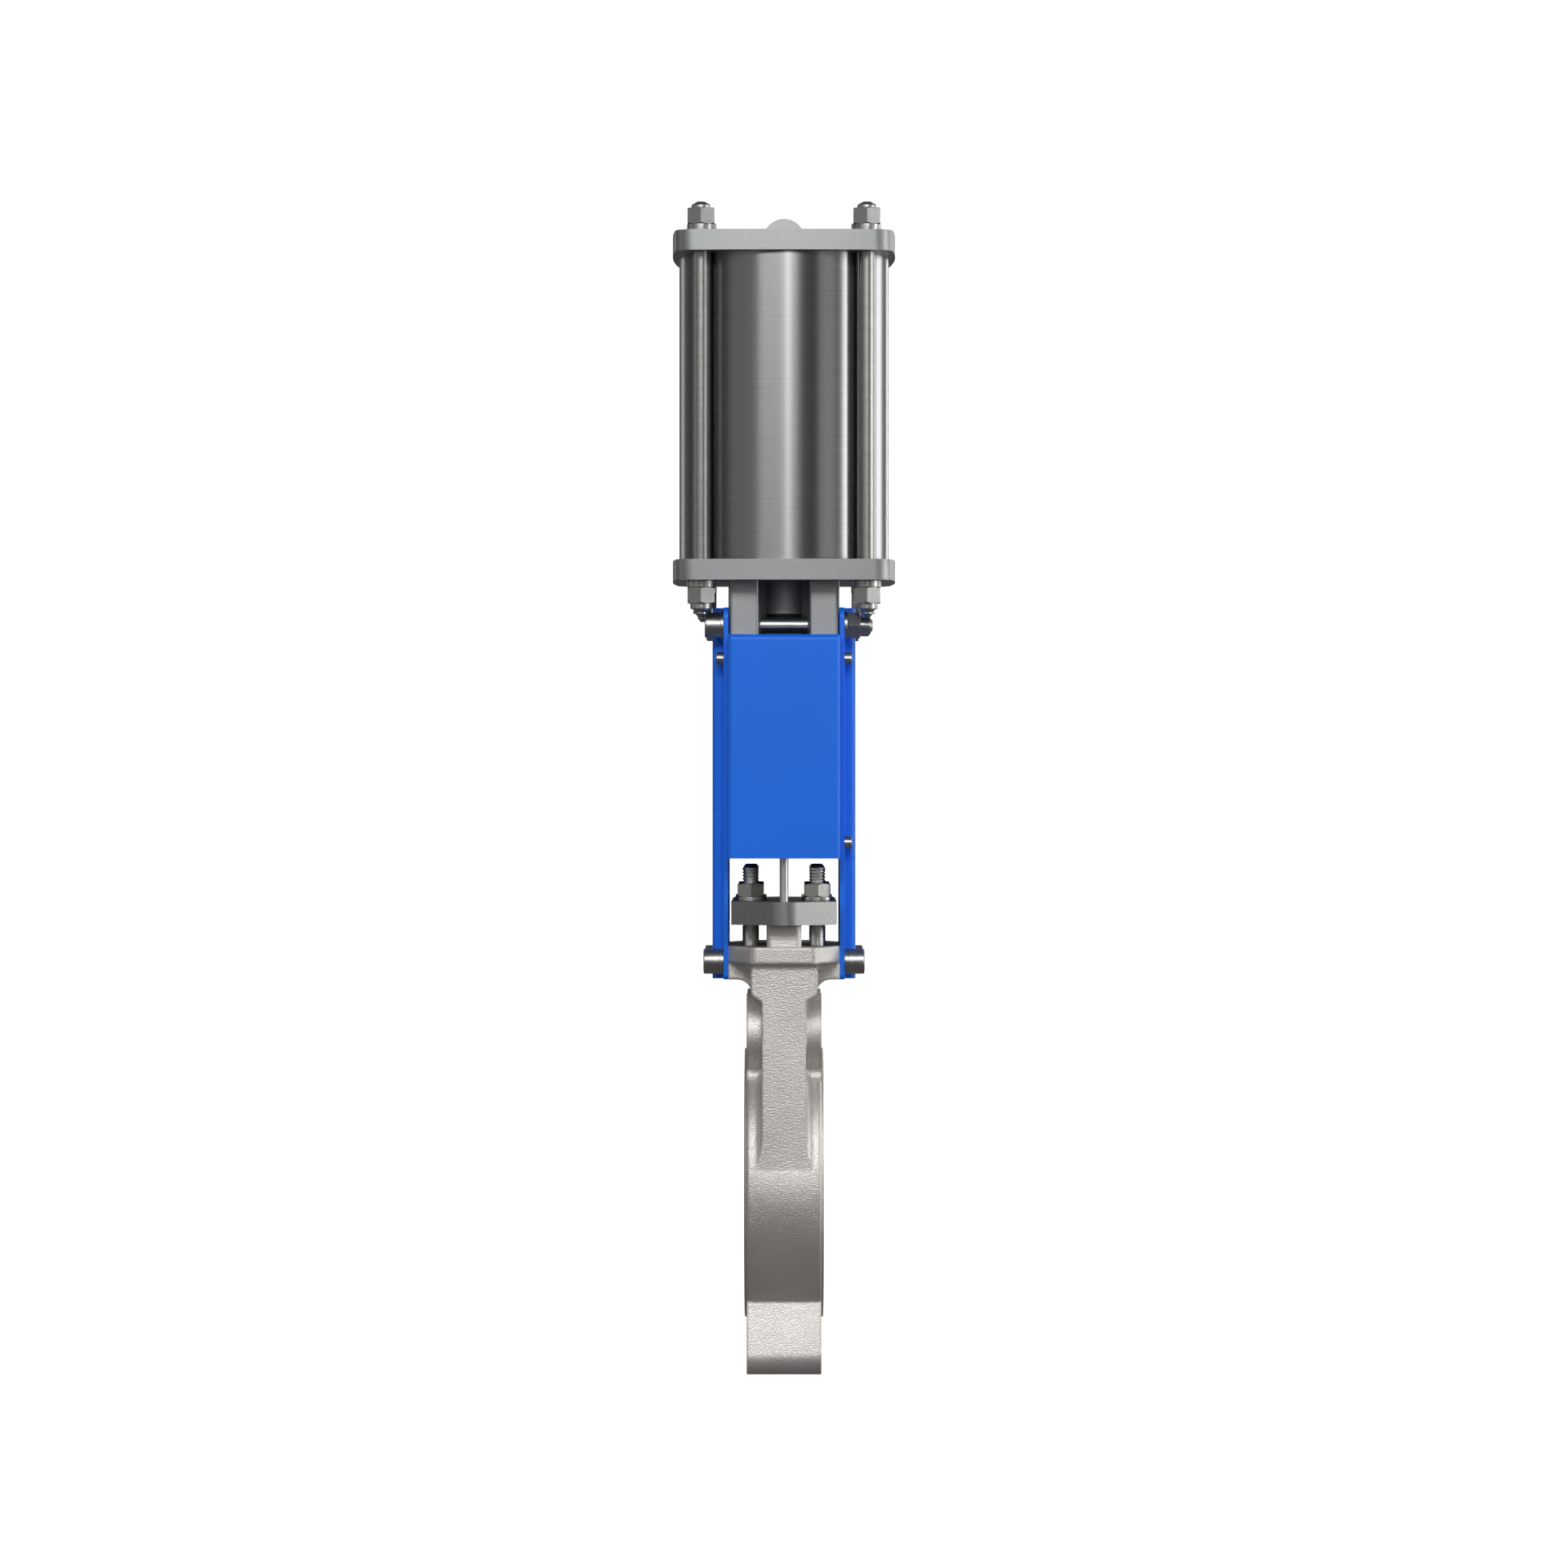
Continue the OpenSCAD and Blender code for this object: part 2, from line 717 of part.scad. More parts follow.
module gland_flange() {
    half = gland_width / 2;
    flat = gland_flat / 2;
    tip = gland_length / 2;
    nose_y = tip - nose_radius;
    reach = norm([half, nose_y - flat]);
    lean = acos(nose_radius / reach) - atan2(nose_y - flat, half);
    apex = nose_y + nose_radius / sin(lean);
    color(machined_steel) difference() {
        translate([0, 0, gland_bottom]) linear_extrude(gland_thick) rounded_outline(
            [[half, -flat], [half, flat], [0, apex], [-half, flat], [-half, -flat], [0, -apex]],
            [gland_corner, gland_corner, nose_radius, gland_corner, gland_corner, nose_radius]
        );
        translate([-gate_thick / 2 - gate_fit, -gate_half - gate_fit, gland_bottom - 1])
            cube([gate_thick + 2 * gate_fit, 2 * (gate_half + gate_fit), gland_thick + 2]);
        four_corners(stud_x, stud_y)
            translate([0, 0, gland_bottom - 1]) cylinder(h = gland_thick + 2, r = hole_r);
    }
}

module gland_studs() {
    color(bright_steel) four_corners(stud_x, stud_y)
        bevelled_rod(stud_floor, stud_top, bolt_r, thread_bevel, thread_bevel);
}

module gland_nuts() {
    color(bright_steel) four_corners(stud_x, stud_y) translate([0, 0, nut_seat])
        rotate([0, 0, gland_nut_turn]) hex_nut(nut_flats, nut_height, bolt_r + thread_fit);
}

module gland_washers() {
    color(bright_steel) four_corners(stud_x, stud_y)
        ring(gland_top, nut_seat, hole_r, gland_washer_dia / 2);
}

// The plate on the right side: a web with one pressed channel, drilled for its bolts.
module yoke_plate() {
    web = yoke_depth / 2;
    rib = rib_width / 2;
    outer = yoke_face + rib_height;
    bend = bend_radius + yoke_thick;
    difference() {
        translate([0, 0, yoke_bottom]) linear_extrude(yoke_top - yoke_bottom) rounded_outline(
            [
                [yoke_half, -web], [yoke_face, -web], [yoke_face, -rib - yoke_thick],
                [outer, -rib - yoke_thick], [outer, rib + yoke_thick],
                [yoke_face, rib + yoke_thick], [yoke_face, web], [yoke_half, web],
                [yoke_half, rib], [outer - yoke_thick, rib], [outer - yoke_thick, -rib],
                [yoke_half, -rib]
            ],
            [0, 0, bend_radius, bend, bend, bend_radius, 0, 0, bend, bend_radius, bend_radius, bend]
        );
        both_y() {
            translate([yoke_half, web, yoke_top]) plate_corner(plate_top_radius);
            translate([yoke_half, web, yoke_bottom])
                mirror([0, 0, 1]) plate_corner(plate_low_radius);
            for (z = [yoke_low, yoke_high])
                translate([0, yoke_bolt_y, z]) rod_x(yoke_half - 1, outer + 1, hole_r);
            for (z = [guard_screw_low, guard_screw_high])
                translate([0, guard_screw_y, z]) rod_x(yoke_half - 1, outer, guard_shank + 0.2);
        }
    }
}

// What is cut away to round the corner of a plate that lies at the origin.
module plate_corner(r) {
    across_flow(3 * yoke_thick) difference() {
        translate([-r, -r]) square([r + 1, r + 1]);
        translate([-r, -r]) circle(r);
    }
}

module yoke_right() {
    color(yoke_blue) yoke_plate();
}

module yoke_left() {
    color(yoke_blue) mirror([1, 0, 0]) yoke_plate();
}

module yoke_body_screws() {
    seat = yoke_face + spring_thick;
    color(bright_steel) both_x() both_y() translate([seat, yoke_bolt_y, yoke_low])
        on_right() socket_screw(
            bolt_r, seat - yoke_half + screw_engaged, cap_dia / 2, cap_height, cap_key
        );
}

module yoke_body_spring_washers() {
    color(bright_steel) both_x() both_y()
        translate([yoke_face, yoke_bolt_y, yoke_low]) on_right() spring_washer();
}

module yoke_head_bolts() {
    seat = yoke_face + washer_thick;
    tip = seat + nut_height + head_bolt_show;
    color(bright_steel) both_y() translate([-seat, yoke_bolt_y, yoke_high])
        mirror([1, 0, 0]) on_right() socket_screw(
            bolt_r, seat + tip, cap_dia / 2, cap_height, cap_key
        );
}

module yoke_head_washers() {
    color(bright_steel) both_x() both_y()
        translate([yoke_face, yoke_bolt_y, yoke_high]) on_right() flat_washer();
}

module yoke_head_nuts() {
    color(bright_steel) both_y()
        translate([yoke_face + washer_thick, yoke_bolt_y, yoke_high])
            on_right() rotate([0, 0, 30]) hex_nut(nut_flats, nut_height, bolt_r + thread_fit);
}

// A block with the guard's outline less the given inset, reaching below by drop.
module guard_block(inset, drop) {
    half = guard_half - inset;
    face = guard_face - inset;
    low = guard_bottom - drop;
    side_bend = guard_thick + bend_radius - inset;
    top_bend = guard_thick + guard_fold - inset;
    intersection() {
        translate([0, 0, low]) linear_extrude(guard_top - guard_bottom + drop) rounded_outline(
            [[-half, -face], [half, -face], [half, 0], [-half, 0]],
            [side_bend, side_bend, 0, 0]
        );
        across_flow(yoke_gap) rounded_outline(
            [[-face, low - 1], [1, low - 1], [1, guard_top - inset], [-face, guard_top - inset]],
            [0, 0, 0, top_bend]
        );
    }
}

// The near guard: a face with two wings and a lip folded in at the top, cut back where it
// passes the legs of the lower head.
module guard() {
    inner = guard_half - guard_thick;
    lip_end = leg_half_depth + 1;
    wing_gap = 1.5;
    difference() {
        guard_block(0, 0);
        guard_block(guard_thick, 1);
        translate([-yoke_half, -guard_inner, guard_bottom - 1])
            cube([yoke_gap, yoke_depth, guard_top - guard_bottom + 2]);
        translate([-yoke_half, -lip_end, leg_bottom - wing_gap])
            cube([yoke_gap, lip_end, guard_top]);
        both_x() for (z = [guard_screw_low, guard_screw_high])
            translate([0, -guard_screw_y, z]) rod_x(inner - 1, yoke_half + 1, guard_shank + 0.2);
    }
}

module guard_front() {
    color(yoke_blue) guard();
}

module guard_back() {
    color(yoke_blue) mirror([0, 1, 0]) guard();
}

// Each guard is held by two screws on the right side and one on the left.
module guard_screw_places() {
    both_y() {
        for (z = [guard_screw_low, guard_screw_high])
            translate([0, guard_screw_y, z]) children();
        translate([0, guard_screw_y, guard_screw_high]) mirror([1, 0, 0]) children();
    }
}

module guard_screws() {
    wing = guard_half - guard_thick;
    color(bright_steel) guard_screw_places() translate([yoke_face, 0, 0]) on_right()
        socket_screw(
            guard_shank, yoke_face - wing + guard_nut_height + 1, guard_screw_dia / 2,
            guard_head_height, guard_key
        );
}

module guard_rivet_nuts() {
    wing = guard_half - guard_thick;
    color(bright_steel) guard_screw_places() translate([wing - guard_nut_height, 0, 0])
        on_right() hex_nut(guard_nut_dia, guard_nut_height, guard_shank + thread_fit);
}

// The plate of a head: a square with rounded corners and sides that bow outward.
module head_plate(z0) {
    chord = head_half - head_radius;
    bow_r = (chord * chord + head_bow * head_bow) / (2 * head_bow);
    bow_centre = [head_half + head_bow - bow_r, 0];
    bow = arc(bow_centre, [head_half, -chord], 2 * asin(chord / bow_r), 10);
    corner = arc([chord, chord], [head_half, chord], 90, 8);
    side = concat([for (i = [0:9]) bow[i]], [for (i = [0:7]) corner[i]]);
    translate([0, 0, z0]) linear_extrude(head_thick)
        polygon([for (a = [0:90:270], q = side) spun(q, a)]);
}

module tie_holes(z0) {
    four_corners(tie_at, tie_at) translate([0, 0, z0 - 1])
        cylinder(h = head_thick + 2, r = hole_r);
}

// One spigot with its ring groove, from the head face at zero upward.
module spigot() {
    groove = o_ring_section + 0.4;
    rotate_extrude() polygon([
        [0, -1],
        [spigot_r, -1],
        [spigot_r, spigot_height / 2 - groove / 2],
        [spigot_r - o_ring_section + o_ring_nip, spigot_height / 2 - groove / 2],
        [spigot_r - o_ring_section + o_ring_nip, spigot_height / 2 + groove / 2],
        [spigot_r, spigot_height / 2 + groove / 2],
        [spigot_r, spigot_height - 1],
        [spigot_r - 1, spigot_height],
        [0, spigot_height]
    ]);
}

// One leg of the lower head: its thick ends hold the bolts, and its middle clears the clevis.
module head_leg() {
    top = head_low + 1;
    difference() {
        translate([0, 0, leg_bottom]) linear_extrude(top - leg_bottom) rounded_outline(
            [
                [leg_inner_end, -leg_half_depth], [yoke_half, -leg_half_depth],
                [yoke_half, leg_half_depth], [leg_inner_end, leg_half_depth],
                [leg_inner_deep, leg_deep_y], [leg_inner_deep, -leg_deep_y]
            ],
            [2, 3, 3, 2, 0, 0]
        );
        translate([0, 0, leg_bottom - 1])
            cylinder(h = guide_bottom - leg_bottom + 1, r = pocket_r);
        both_y() translate([0, yoke_bolt_y, yoke_high]) rod_x(0, yoke_half + 1, hole_r);
    }
}

// A boss on a head for an air port that opens on the back, with its axis at height z.
module air_boss(z, y0) {
    translate([0, port_face, z]) rotate([90, 0, 0])
        cylinder(h = port_face - y0, r = port_boss_radius);
}

// The port and the drilling that leads from it to the cylinder, up or down by feed.
module air_drilling(z, feed) {
    translate([0, port_face + 1, z]) rotate([90, 0, 0])
        cylinder(h = port_depth + 1, r = air_port / 2);
    translate([0, feed_y, min(z, z + feed)])
        cylinder(h = abs(feed), r = feed_r);
}

module lower_head() {
    boss_z = tube_low - port_boss_radius - port_lip;
    boss_lap = 6;
    boss_root = leg_half_depth - boss_lap;
    color(cast_aluminium) difference() {
        union() {
            head_plate(head_low);
            translate([0, 0, tube_low]) spigot();
            both_x() head_leg();
            bevelled_rod(guide_bottom, head_low + 1, guide_dia / 2, guide_bevel, 0);
            air_boss(boss_z, boss_root);
        }
        tie_holes(head_low);
        translate([0, 0, guide_bottom - 1])
            cylinder(h = tube_low + spigot_height - guide_bottom + 2, r = rod_hole_r);
        translate([0, 0, bush_low]) cylinder(h = bush_length, r = bush_r);
        translate([0, 0, guide_bottom - 1]) cylinder(h = wiper_height + 1, r = wiper_r);
        translate([0, 0, seal_low]) cylinder(h = seal_height, r = seal_r);
        air_drilling(boss_z, tube_low + spigot_height + 1 - boss_z);
    }
}

module rod_bush() {
    color(bronze) ring(bush_low, bush_low + bush_length, rod_r + rod_fit, bush_r);
}

module rod_seal() {
    color(black_rubber) ring(seal_low, seal_low + seal_height, rod_r + rod_fit, seal_r);
}

module rod_wiper() {
    color(black_rubber)
        ring(guide_bottom, guide_bottom + wiper_height, rod_r + rod_fit, wiper_r);
}

module head_o_rings() {
    r = o_ring_section / 2;
    color(black_rubber) for (z = [tube_low + spigot_height / 2, tube_high - spigot_height / 2])
        translate([0, 0, z]) rotate_extrude()
            translate([spigot_r - r + o_ring_nip, 0]) circle(r);
}

module cylinder_tube() {
    color(bright_steel) ring(tube_low, tube_high, tube_r, tube_outer);
}

module upper_head() {
    boss_drop = 2.8;
    boss_z = head_high - boss_drop;
    clear_z = tube_high + 2;
    color(cast_aluminium) difference() {
        union() {
            head_plate(tube_high);
            translate([0, 0, tube_high]) mirror([0, 0, 1]) spigot();
            intersection() {
                air_boss(boss_z, -head_half / 3);
                translate([-port_boss_radius, -head_half, clear_z])
                    cube([2 * port_boss_radius, head_width + head_bow, 2 * port_boss_radius]);
            }
        }
        tie_holes(tube_high);
        air_drilling(boss_z, tube_high - spigot_height - 1 - boss_z);
    }
}

// A tie rod with its coned upper end and the stepped point of its lower end.
module tie_rods() {
    neck_r = 3.65;
    low_r = 1.8;
    high_r = 2.5;
    color(bright_steel) four_corners(tie_at, tie_at) rotate_extrude() polygon([
        [0, tie_low],
        [low_r, tie_low],
        [neck_r, tie_low + 2.3],
        [neck_r, tie_low + 3.3],
        [bolt_r, tie_low + 5],
        [bolt_r, tie_top - 1.5],
        [high_r, tie_top],
        [0, tie_top]
    ]);
}

// A nut with a round collar past its hexagon, given as radius, height and bevel.
module collar_nut(collar) {
    difference() {
        union() {
            hex_nut(tie_nut_flats, tie_nut_height, bolt_r + thread_fit);
            translate([0, 0, tie_nut_height - 1])
                bevelled_rod(0, collar[1] + 1, collar[0], 0, collar[2]);
        }
        translate([0, 0, -1]) cylinder(h = tie_nut_height + collar[1] + 2, r = bolt_r + thread_fit);
    }
}

module tie_rod_nuts() {
    color(bright_steel) four_corners(tie_at, tie_at) {
        translate([0, 0, tie_top_seat]) rotate([0, 0, tie_nut_turn]) collar_nut(tie_top_collar);
        translate([0, 0, tie_low_seat])
            mirror([0, 0, 1]) rotate([0, 0, tie_nut_turn]) collar_nut(tie_low_collar);
    }
}

module tie_rod_washers() {
    color(bright_steel) four_corners(tie_at, tie_at) {
        ring(head_high, tie_top_seat, hole_r, washer_dia / 2);
        ring(tie_low_seat, head_low, hole_r, washer_dia / 2);
    }
}

module gate() {
    half = gate_thick / 2;
    edge = half - 0.2;
    color(bright_steel) difference() {
        union() {
            intersection() {
                translate([0, 0, gate_centre]) on_right() rotate_extrude() polygon([
                    [0, -half],
                    [gate_half - knife_bevel, -half],
                    [gate_half, -half + knife_bevel],
                    [gate_half, half - knife_bevel],
                    [gate_half - knife_bevel, half],
                    [0, half]
                ]);
                translate([-gate_thick, -gate_half - 1, gate_bottom - 1])
                    cube([2 * gate_thick, 2 * gate_half + 2, gate_half + 1]);
            }
            translate([0, 0, gate_centre]) linear_extrude(gate_shoulder - gate_centre)
                rounded_box(half, gate_half, edge);
            translate([0, 0, gate_shoulder - 1]) linear_extrude(gate_top - gate_shoulder + 1)
                rounded_box(half, tab_half, edge);
        }
        both_y() translate([0, clevis_pitch / 2, clevis_bolt_z])
            rod_x(-gate_thick, gate_thick, bolt_r + thread_fit);
    }
}

module gate_clevis() {
    color(machined_steel) difference() {
        translate([0, 0, clevis_bottom]) linear_extrude(clevis_height)
            rounded_box(clevis_width / 2, clevis_depth / 2, clevis_radius);
        translate([-gate_thick / 2 - gate_fit, -clevis_depth, clevis_bottom - 1])
            cube([gate_thick + 2 * gate_fit, 2 * clevis_depth, clevis_slot_top - clevis_bottom + 1]);
        translate([0, 0, clevis_slot_top - 1])
            cylinder(h = clevis_height, r = thread_r + thread_fit);
        both_y() translate([0, clevis_pitch / 2, clevis_bolt_z])
            rod_x(-clevis_width, clevis_width, bolt_r + thread_fit);
    }
}

module clevis_bolts() {
    seat = clevis_width / 2;
    color(bright_steel) both_y() translate([-seat, clevis_pitch / 2, clevis_bolt_z])
        mirror([1, 0, 0]) on_right() {
            bevelled_rod(-clevis_width - nut_height - 2, 0.01, bolt_r, 1, 0);
            rotate([0, 0, 30]) hex_nut(nut_flats, clevis_bolt_head, 0.01);
        }
}

module clevis_nuts() {
    color(bright_steel) both_y() translate([clevis_width / 2, clevis_pitch / 2, clevis_bolt_z])
        on_right() rotate([0, 0, 30]) hex_nut(nut_flats, nut_height, bolt_r + thread_fit);
}

module piston_rod() {
    thread_top = piston_top - 1;
    color(bright_steel) {
        bevelled_rod(clevis_top, piston_bottom, rod_r, 1, 0);
        bevelled_rod(clevis_slot_top + 0.4, clevis_top + 1, thread_r, 1, 0);
        bevelled_rod(piston_bottom - 1, thread_top, thread_r, 0, 1);
    }
}

function piston_seal_places() =
    [piston_bottom + piston_land, piston_top - piston_land - piston_seal_height];

module piston() {
    groove_r = tube_r - seal_fit - piston_seal_wall;
    wear_r = tube_r - seal_fit - wear_wall;
    mid = (piston_top + piston_bottom) / 2;
    color(cast_aluminium) difference() {
        bevelled_rod(piston_bottom, piston_top, piston_r, 1, 1);
        translate([0, 0, piston_bottom - 1])
            cylinder(h = piston_thick + 2, r = thread_r + thread_fit);
        translate([0, 0, piston_top - piston_recess])
            cylinder(h = piston_recess + 1, r = piston_nut_flats / sqrt(3) + 1);
        for (z = piston_seal_places())
            ring(z, z + piston_seal_height, groove_r, tube_r);
        ring(mid - wear_height / 2, mid + wear_height / 2, wear_r, tube_r);
    }
}

module piston_seals() {
    outer = tube_r - seal_fit;
    color(black_rubber) for (z = piston_seal_places())
        ring(z, z + piston_seal_height, outer - piston_seal_wall, outer);
}

module piston_wear_ring() {
    outer = tube_r - seal_fit;
    mid = (piston_top + piston_bottom) / 2;
    color(pale_packing)
        ring(mid - wear_height / 2, mid + wear_height / 2, outer - wear_wall, outer);
}

module piston_nut() {
    color(bright_steel) translate([0, 0, piston_top - piston_recess])
        hex_nut(piston_nut_flats, piston_nut_height, thread_r + thread_fit);
}

body();
seat_ring();
guide_ring();
packing_rings();
gland_follower();
gland_flange();
gland_studs();
gland_nuts();
gland_washers();
yoke_left();
yoke_right();
yoke_body_screws();
yoke_body_spring_washers();
yoke_head_bolts();
yoke_head_nuts();
yoke_head_washers();
guard_front();
guard_back();
guard_screws();
guard_rivet_nuts();
lower_head();
rod_bush();
rod_seal();
rod_wiper();
head_o_rings();
cylinder_tube();
upper_head();
tie_rods();
tie_rod_nuts();
tie_rod_washers();
gate();
gate_clevis();
clevis_bolts();
clevis_nuts();
piston_rod();
piston();
piston_seals();
piston_wear_ring();
piston_nut();
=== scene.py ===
"""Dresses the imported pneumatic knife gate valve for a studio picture.

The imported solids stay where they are. This file gives them their finishes, rounds their
edges, cuts the threads on the gland studs and sets up the floor, the light and the camera.
"""

import math

import bmesh
import bpy
from bpy.props import FloatProperty, FloatVectorProperty, IntProperty, PointerProperty
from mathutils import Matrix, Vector


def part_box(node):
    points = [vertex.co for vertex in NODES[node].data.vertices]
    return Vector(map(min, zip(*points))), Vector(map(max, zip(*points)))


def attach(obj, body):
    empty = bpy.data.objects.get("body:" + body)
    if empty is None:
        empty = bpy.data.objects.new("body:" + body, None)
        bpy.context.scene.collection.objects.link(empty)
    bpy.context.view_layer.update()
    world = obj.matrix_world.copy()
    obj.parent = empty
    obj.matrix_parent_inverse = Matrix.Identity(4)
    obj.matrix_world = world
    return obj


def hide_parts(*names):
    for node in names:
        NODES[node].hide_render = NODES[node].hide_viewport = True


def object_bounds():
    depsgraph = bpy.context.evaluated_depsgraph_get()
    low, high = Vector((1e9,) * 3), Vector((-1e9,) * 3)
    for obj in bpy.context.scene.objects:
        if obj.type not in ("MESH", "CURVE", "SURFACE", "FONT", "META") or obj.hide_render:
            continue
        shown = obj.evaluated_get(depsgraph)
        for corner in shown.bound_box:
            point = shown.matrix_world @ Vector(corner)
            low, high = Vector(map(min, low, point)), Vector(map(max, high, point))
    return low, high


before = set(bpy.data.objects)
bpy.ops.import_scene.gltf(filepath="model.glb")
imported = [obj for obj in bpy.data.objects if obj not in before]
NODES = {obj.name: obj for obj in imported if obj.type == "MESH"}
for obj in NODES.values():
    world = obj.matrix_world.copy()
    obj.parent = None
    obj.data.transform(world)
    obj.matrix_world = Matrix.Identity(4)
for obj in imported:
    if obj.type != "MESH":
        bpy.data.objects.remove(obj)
CAD_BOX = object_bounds()

bl_info = {
    "name": "Knife gate valve studio",
    "version": (1, 0, 0),
    "blender": (4, 5, 0),
    "location": "3D View > Sidebar > Valve",
    "description": "Finishes, threads, light and camera for a pneumatic knife gate valve",
    "category": "Object",
}

FIXED_BODY = "valve_frame"
MM = 0.001
FLOOR_Z = CAD_BOX[0].z

# Width of the camera's sensor in millimetres, to which the lens setting belongs.
SENSOR_WIDTH = 36
# Heights, from -1 straight down to 1 straight up, between which the room's colour changes.
SKY_FADE = (-0.6, 0.9)

# Radius on the edges of the milled gland flange and clevis, and the widest gap that is
# joined at a corner before it is rounded.
MACHINED_EDGE = 0.5 * MM
CORNER_GAP = 0.002 * MM
# Depths of the grain of the metals and rubber and of the packing's braid.
GRAIN_DEPTH = 0.1 * MM
BRAID_DEPTH = 0.4 * MM

# The gland studs. Their shank narrows to a neck between NECK_SHOULDER and NECK_TOP below
# the gland flange. The neck ends NECK_END below the thread, which starts so many turns
# below the top of the nut.
STUD_RADIUS = 5 * MM
STUD_CHAMFER = 1.6 * MM
NECK_DEPTH = 0.5 * MM
NECK_SHOULDER = 1.4 * MM
NECK_TOP = 0.9 * MM
NECK_END = 0.4 * MM
TURNS_UNDER_NUT = 3

# Colours of the finishes that have no setting.
MILLED_STEEL = (0.31, 0.31, 0.305)
BARE_STEEL = (0.80, 0.80, 0.79)
GROUND_STEEL = (0.55, 0.55, 0.54)
CHROME = (0.70, 0.71, 0.72)
BRONZE = (0.43, 0.27, 0.11)
RUBBER = (0.016, 0.016, 0.017)
WORN_RUBBER = (0.028, 0.028, 0.030)
# Groove colour of the braid is painted shade: the packing is drawn darker down in the grooves of its
# weave.
BRAID_GROOVE_SHADE = (0.42, 0.39, 0.31)
BRAID_CREST = (0.66, 0.63, 0.54)

SEALS = ("seat_ring", "rod_seal", "rod_wiper", "head_o_rings", "piston_seals")
SHEETS = ("yoke_left", "yoke_right", "guard_front", "guard_back")
FASTENERS = (
    "gland_studs",
    "gland_nuts",
    "gland_washers",
    "yoke_body_screws",
    "yoke_body_spring_washers",
    "yoke_head_bolts",
    "yoke_head_nuts",
    "yoke_head_washers",
    "guard_screws",
    "guard_rivet_nuts",
    "tie_rod_nuts",
    "tie_rod_washers",
    "clevis_bolts",
    "clevis_nuts",
    "piston_nut",
)


class StageSettings(bpy.types.PropertyGroup):
    """Camera, backdrop and lights."""

    camera_distance: FloatProperty(
        name="Camera distance",
        description="Distance from the valve's axis to the camera",
        default=3.700,
        unit="LENGTH",
    )
    camera_height: FloatProperty(
        name="Camera height",
        description="Height of the camera over the port axis",
        default=0.2537,
        unit="LENGTH",
    )
    lens: FloatProperty(
        name="Lens",
        description="Focal length on a 36 mm wide sensor, in millimetres",
        default=133.28,
        unit="CAMERA",
    )
    floor_colour: FloatVectorProperty(
        name="Floor",
        description="Colour of the floor and backdrop",
        subtype="COLOR",
        size=3,
        default=(0.93, 0.93, 0.93),
    )
    floor_glow: FloatProperty(
        name="Floor glow",
        description="Light that the backdrop gives by itself",
        default=1.0,
    )
    sky_low: FloatVectorProperty(
        name="Light from below",
        description="Colour of the room below the horizon",
        subtype="COLOR",
        size=3,
        default=(0.118, 0.115, 0.112),
    )
    sky_high: FloatVectorProperty(
        name="Light from above",
        description="Colour of the room overhead",
        subtype="COLOR",
        size=3,
        default=(0.14, 0.14, 0.143),
    )


class CastingSettings(bpy.types.PropertyGroup):
    """Look of the shot-blasted body casting."""

    colour: FloatVectorProperty(
        name="Casting",
        description="Colour of the shot-blasted steel",
        subtype="COLOR",
        size=3,
        default=(0.70, 0.672, 0.64),
    )
    roughness: FloatProperty(
        name="Roughness",
        description="Roughness of the casting",
        default=0.43,
        min=0,
        max=1,
        subtype="FACTOR",
    )
    dimple: FloatProperty(
        name="Dimple size",
        description="Width of the dimples left by the shot",
        default=0.0012,
        unit="LENGTH",
    )
    edge: FloatProperty(
        name="Cast edge",
        description="Radius on the edges of the casting",
        default=0.0012,
        unit="LENGTH",
    )
    worn_edge: FloatProperty(
        name="Blasted edge",
        description="Radius over which the shot has worn the edges soft",
        default=0.0026,
        unit="LENGTH",
    )


class CoatSettings(bpy.types.PropertyGroup):
    """Look of the blue powder coat."""

    colour: FloatVectorProperty(
        name="Blue",
        description="Colour of the powder coat",
        subtype="COLOR",
        size=3,
        default=(0.003, 0.18, 0.95),
    )
    roughness: FloatProperty(
        name="Roughness",
        description="Roughness of the coat",
        default=0.42,
        min=0,
        max=1,
        subtype="FACTOR",
    )
    peel: FloatProperty(
        name="Orange peel",
        description="Width of the waves in the coat",
        default=0.0016,
        unit="LENGTH",
    )
    edge: FloatProperty(
        name="Sheet edge",
        description="Radius on the edges of the coated sheet",
        default=0.0005,
        unit="LENGTH",
    )


class MetalSettings(bpy.types.PropertyGroup):
    """Look of the machined, brushed and polished metals."""

    head_colour: FloatVectorProperty(
        name="Heads",
        description="Colour of the cylinder heads",
        subtype="COLOR",
        size=3,
        default=(0.33, 0.337, 0.34),
    )
    tube_colour: FloatVectorProperty(
        name="Tube",
        description="Colour of the brushed tube",
        subtype="COLOR",
        size=3,
        default=(0.27, 0.275, 0.28),
    )
    bolt_colour: FloatVectorProperty(
        name="Fasteners",
        description="Colour of the stainless fasteners",
        subtype="COLOR",
        size=3,
        default=(0.39, 0.39, 0.38),
    )
    head_edge: FloatProperty(
        name="Head edge",
        description="Radius on the edges of the cylinder heads",
        default=0.0012,
        unit="LENGTH",
    )
    bolt_edge: FloatProperty(
        name="Fastener edge",
        description="Radius on the edges of the fasteners",
        default=0.00025,
        unit="LENGTH",
    )


class ThreadSettings(bpy.types.PropertyGroup):
    """Shape of the threads cut on the gland studs."""

    pitch: FloatProperty(
        name="Pitch", description="Pitch of the thread", default=0.0020, unit="LENGTH"
    )
    depth: FloatProperty(
        name="Depth", description="Depth of the thread", default=0.0009, unit="LENGTH"
    )
    steps: IntProperty(
        name="Steps", description="Facets round one turn of the thread", default=40
    )


def settings(name):
    """The group of settings that the scene holds under the given name."""
    return getattr(bpy.context.scene, name)


def node_tree(material):
    """The nodes and links of a material."""
    material.use_nodes = True
    return material.node_tree.nodes, material.node_tree.links


